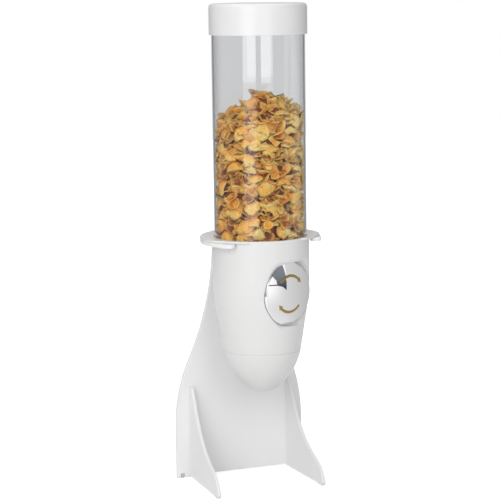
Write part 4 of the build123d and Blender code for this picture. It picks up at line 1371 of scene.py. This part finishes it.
def knob_cards():
    """Cards that the knob mirrors: a wall that darkens to the right, a dark curtain, a shelf, a strip.

    Each corner is given where it shows in the knob, as mm right of the shaft and mm above it.
    """
    count = 25
    side, up = np.meshgrid(*[np.linspace(-36, 36, count)] * 2)
    bright = np.clip((-side - 9) / 17, 0, 1) * np.clip((up + 9) / 16, 0, 1)
    low = np.clip((-up - 18) / 12, 0, 1) * np.clip((14 - side) / 20, 0, 1)
    glow = np.clip(0.70 - 0.0052 * side, 0.5, 0.86) + 0.26 * bright + 0.08 * low
    points = mirrored(side.ravel(), up.ravel(), 1.5)
    faces = grid_quads(count, count, close_columns=False)
    glowing_card("pale wall", points, faces, glow.ravel(), (1.0, 0.985, 0.98))
    curtain = [(-25, 22), (-18, 29), (-10, 36), (-6.5, 23), (-5.5, 14), (-6.3, 5), (-11, 9), (-19, 11.4)]
    curtain.append((-20, 17))
    side, up = np.array(curtain).T
    glow = np.interp(up, [4, 9, 13, 20, 36], [0.02, 0.05, 0.14, 0.25, 0.27])
    glowing_card("dark curtain", mirrored(side, up, 1.4), [range(len(curtain))], glow, (0.92, 0.98, 1.1))
    shelf = np.array([(-33, 13.4), (-33, 12.4), (-18, 11.2), (-18, 12.6)])
    glowing_card("thin shelf", mirrored(*shelf.T, 1.4), [range(4)], [0.12] * 4)
    strip = np.array([(-9.6, 36), (-6.4, 23), (-5.2, 14), (-4.6, 15), (-4.9, 24), (-6.6, 36)])
    glow = [1.1, 1.1, 0.9, 0.7, 1.1, 1.1]
    glowing_card("bright strip", mirrored(*strip.T, 1.38), [range(len(strip))], glow)


def studio_wall(back, pale, dark):
    """Round walls of the studio, of which one shows in reflections and one through glass.

    Each is pale behind the dispenser. Through glass it is dark at both sides of that, and of middling tones
    further round, by the angle in degrees from straight behind.
    """
    azimuth = np.arange(0, 360, 5.0)
    points = np.array([beside(a, 1.7, height) for height in (-0.02, 2.4) for a in azimuth])
    off = np.abs((azimuth - back + 180) % 360 - 180)
    for name, angles, shares, through in (
        ("studio wall through glass", [14, 30, 50, 65, 85, 110], [1.0, 0.0, 0.0, 0.6, 0.5, 0.3], True),
        ("studio wall in reflections", [14, 30], [1.0, 0.0], False),
    ):
        glow = np.tile(dark + (pale - dark) * np.interp(off, angles, shares), 2)
        glowing_card(name, points, grid_quads(2, len(azimuth)), glow, (1.0, 1.0, 1.01), through)


def seen_white(tree):
    """Share that is 1 for rays from the camera, a mirror or glass."""
    path = wire(tree, "ShaderNodeLightPath").outputs
    seen = calculate(tree, "MAXIMUM", path["Is Camera Ray"], path["Is Glossy Ray"])
    return calculate(tree, "MAXIMUM", seen, path["Is Transmission Ray"])


def white_world(ambient):
    """Surroundings that the camera, mirrors and glass see as white, and that light the rest evenly."""
    world = bpy.data.worlds.new("white surroundings")
    bpy.context.scene.world = world
    world.use_nodes = True
    tree = world.node_tree
    tree.nodes.clear()
    even = wire(tree, "ShaderNodeBackground", (1, 1, 1), ambient).outputs[0]
    white = wire(tree, "ShaderNodeBackground", (1, 1, 1), 1.0).outputs[0]
    mixed = wire(tree, "ShaderNodeMixShader", seen_white(tree), even, white)
    wire(tree, "ShaderNodeOutputWorld", mixed.outputs[0])


def pale_floor():
    """Floor that glows white away from the dispenser, and half as much in mirrors, and keeps its shadow."""
    floor = studio_object("floor", [(-4, -4, 0), (4, -4, 0), (4, 4, 0), (-4, 4, 0)], [(0, 1, 2, 3)])
    material, tree, shader = start_finish(
        "pale floor",
        Base_Color=(0.8, 0.8, 0.8),
        Roughness=0.9,
        Specular_IOR_Level=0.1,
        Emission_Color=(1, 1, 1),
    )
    where = own_place(tree)
    patchy = calculate(tree, "MULTIPLY", noise(tree, where, 6.0), 0.03)
    dimmest, dim_until, white_from, in_mirrors = 0.56, 0.2, 1.3, 0.5
    out_from_middle = from_vector(tree, "LENGTH", where)
    far = spread(tree, out_from_middle, dimmest, 1.0, dim_until, white_from)
    straight = wire(tree, "ShaderNodeLightPath").outputs["Is Camera Ray"]
    level = calculate(tree, "MULTIPLY", far, spread(tree, straight, in_mirrors, 1.0))
    glow = calculate(tree, "MULTIPLY", seen_white(tree), calculate(tree, "ADD", level, patchy))
    feed(tree, shader, Emission_Strength=glow)
    floor.data.materials.append(material)


def lamps(s):
    """Two tall windows, each in panes of their own brightness, and a lamp overhead."""
    away, pane, upper_pane = 1.6, 0.30, 0.75
    for name, azimuth, low, size, power in (
        ("left window", -44.2, s.sill, (0.927, pane), s.key * 0.21),
        ("left window above", -42.0, s.sill + pane, (1.04, upper_pane), s.key * 0.80),
        ("left window below", -44.2, 0.05, (0.927, s.sill - 0.05), s.key * 0.10),
        ("right window", -3.6, s.sill, (0.66, pane), s.side * 0.23),
        ("right window above", -1.6, s.sill + pane, (0.66, upper_pane), s.side * 0.95),
    ):
        height = low + size[1] / 2
        soft_lamp(name, beside(azimuth, away, height), (*UPRIGHT[0][:2], height), size, power)
    soft_lamp("overhead", (-0.3, 0.1, 1.7), (0, 0, 0.2), (1.4, 1.4), s.over)


def place_camera(s):
    """Camera at its place, turned to its direction and rolled about it."""
    camera = bpy.data.objects.new("camera", bpy.data.cameras.new("camera"))
    camera.data.lens = s.lens
    camera.data.sensor_width = 36.0
    camera.data.clip_start, camera.data.clip_end = 0.05, 50.0
    ahead = Vector(s.aim).normalized()
    level = ahead.cross(Vector((0, 0, 1))).normalized()
    upward = level.cross(ahead)
    right = level * math.cos(s.roll) + upward * math.sin(s.roll)
    up = upward * math.cos(s.roll) - level * math.sin(s.roll)
    turn_to = Matrix((right, up, -ahead)).transposed().to_4x4()
    camera.matrix_world = Matrix.Translation(s.eye) @ turn_to
    bpy.context.scene.collection.objects.link(camera)
    bpy.context.scene.camera = camera


class DISPENSER_OT_stage(Operator):
    """Camera, soft lamps, white surroundings and a pale floor"""

    bl_idname = "dispenser.stage"
    bl_label = "Stage"

    def execute(self, context):
        s = context.scene.dispenser.stage
        context.scene.view_settings.view_transform = "Standard"
        white_world(s.ambient)
        pale_floor()
        studio_wall(s.back, s.pale, s.dark)
        knob_cards()
        lamps(s)
        place_camera(s)
        return {"FINISHED"}


STEPS = (
    DISPENSER_OT_stand,
    DISPENSER_OT_mechanism,
    DISPENSER_OT_housing,
    DISPENSER_OT_nose,
    DISPENSER_OT_canister,
    DISPENSER_OT_flakes,
    DISPENSER_OT_knob,
    DISPENSER_OT_stage,
)


class DISPENSER_PT_panel(Panel):
    """Sidebar panel that lists every step and its settings"""

    bl_idname = "DISPENSER_PT_panel"
    bl_label = "Cereal dispenser"
    bl_space_type = "VIEW_3D"
    bl_region_type = "UI"
    bl_category = "Dispenser"

    def draw(self, context):
        for step in STEPS:
            self.layout.operator(step.bl_idname)
        settings = context.scene.dispenser
        for name, group in (
            ("Canister", settings.canister),
            ("Flakes", settings.flakes),
            ("Housing", settings.housing),
            ("Knob", settings.knob),
            ("Stand", settings.stand),
            ("Stage", settings.stage),
        ):
            box = self.layout.box()
            box.label(text=name)
            for key in group.__annotations__:
                box.prop(group, key)


CLASSES = (
    CanisterSettings,
    FlakeSettings,
    HousingSettings,
    KnobSettings,
    StandSettings,
    StageSettings,
    DispenserSettings,
    *STEPS,
    DISPENSER_PT_panel,
)


def register():
    for one in CLASSES:
        bpy.utils.register_class(one)
    bpy.types.Scene.dispenser = PointerProperty(type=DispenserSettings)


def unregister():
    del bpy.types.Scene.dispenser
    for one in reversed(CLASSES):
        bpy.utils.unregister_class(one)


def main():
    register()
    for step in STEPS:
        space, name = step.bl_idname.split(".")
        getattr(getattr(bpy.ops, space), name)()


if __name__ == "__main__":
    main()
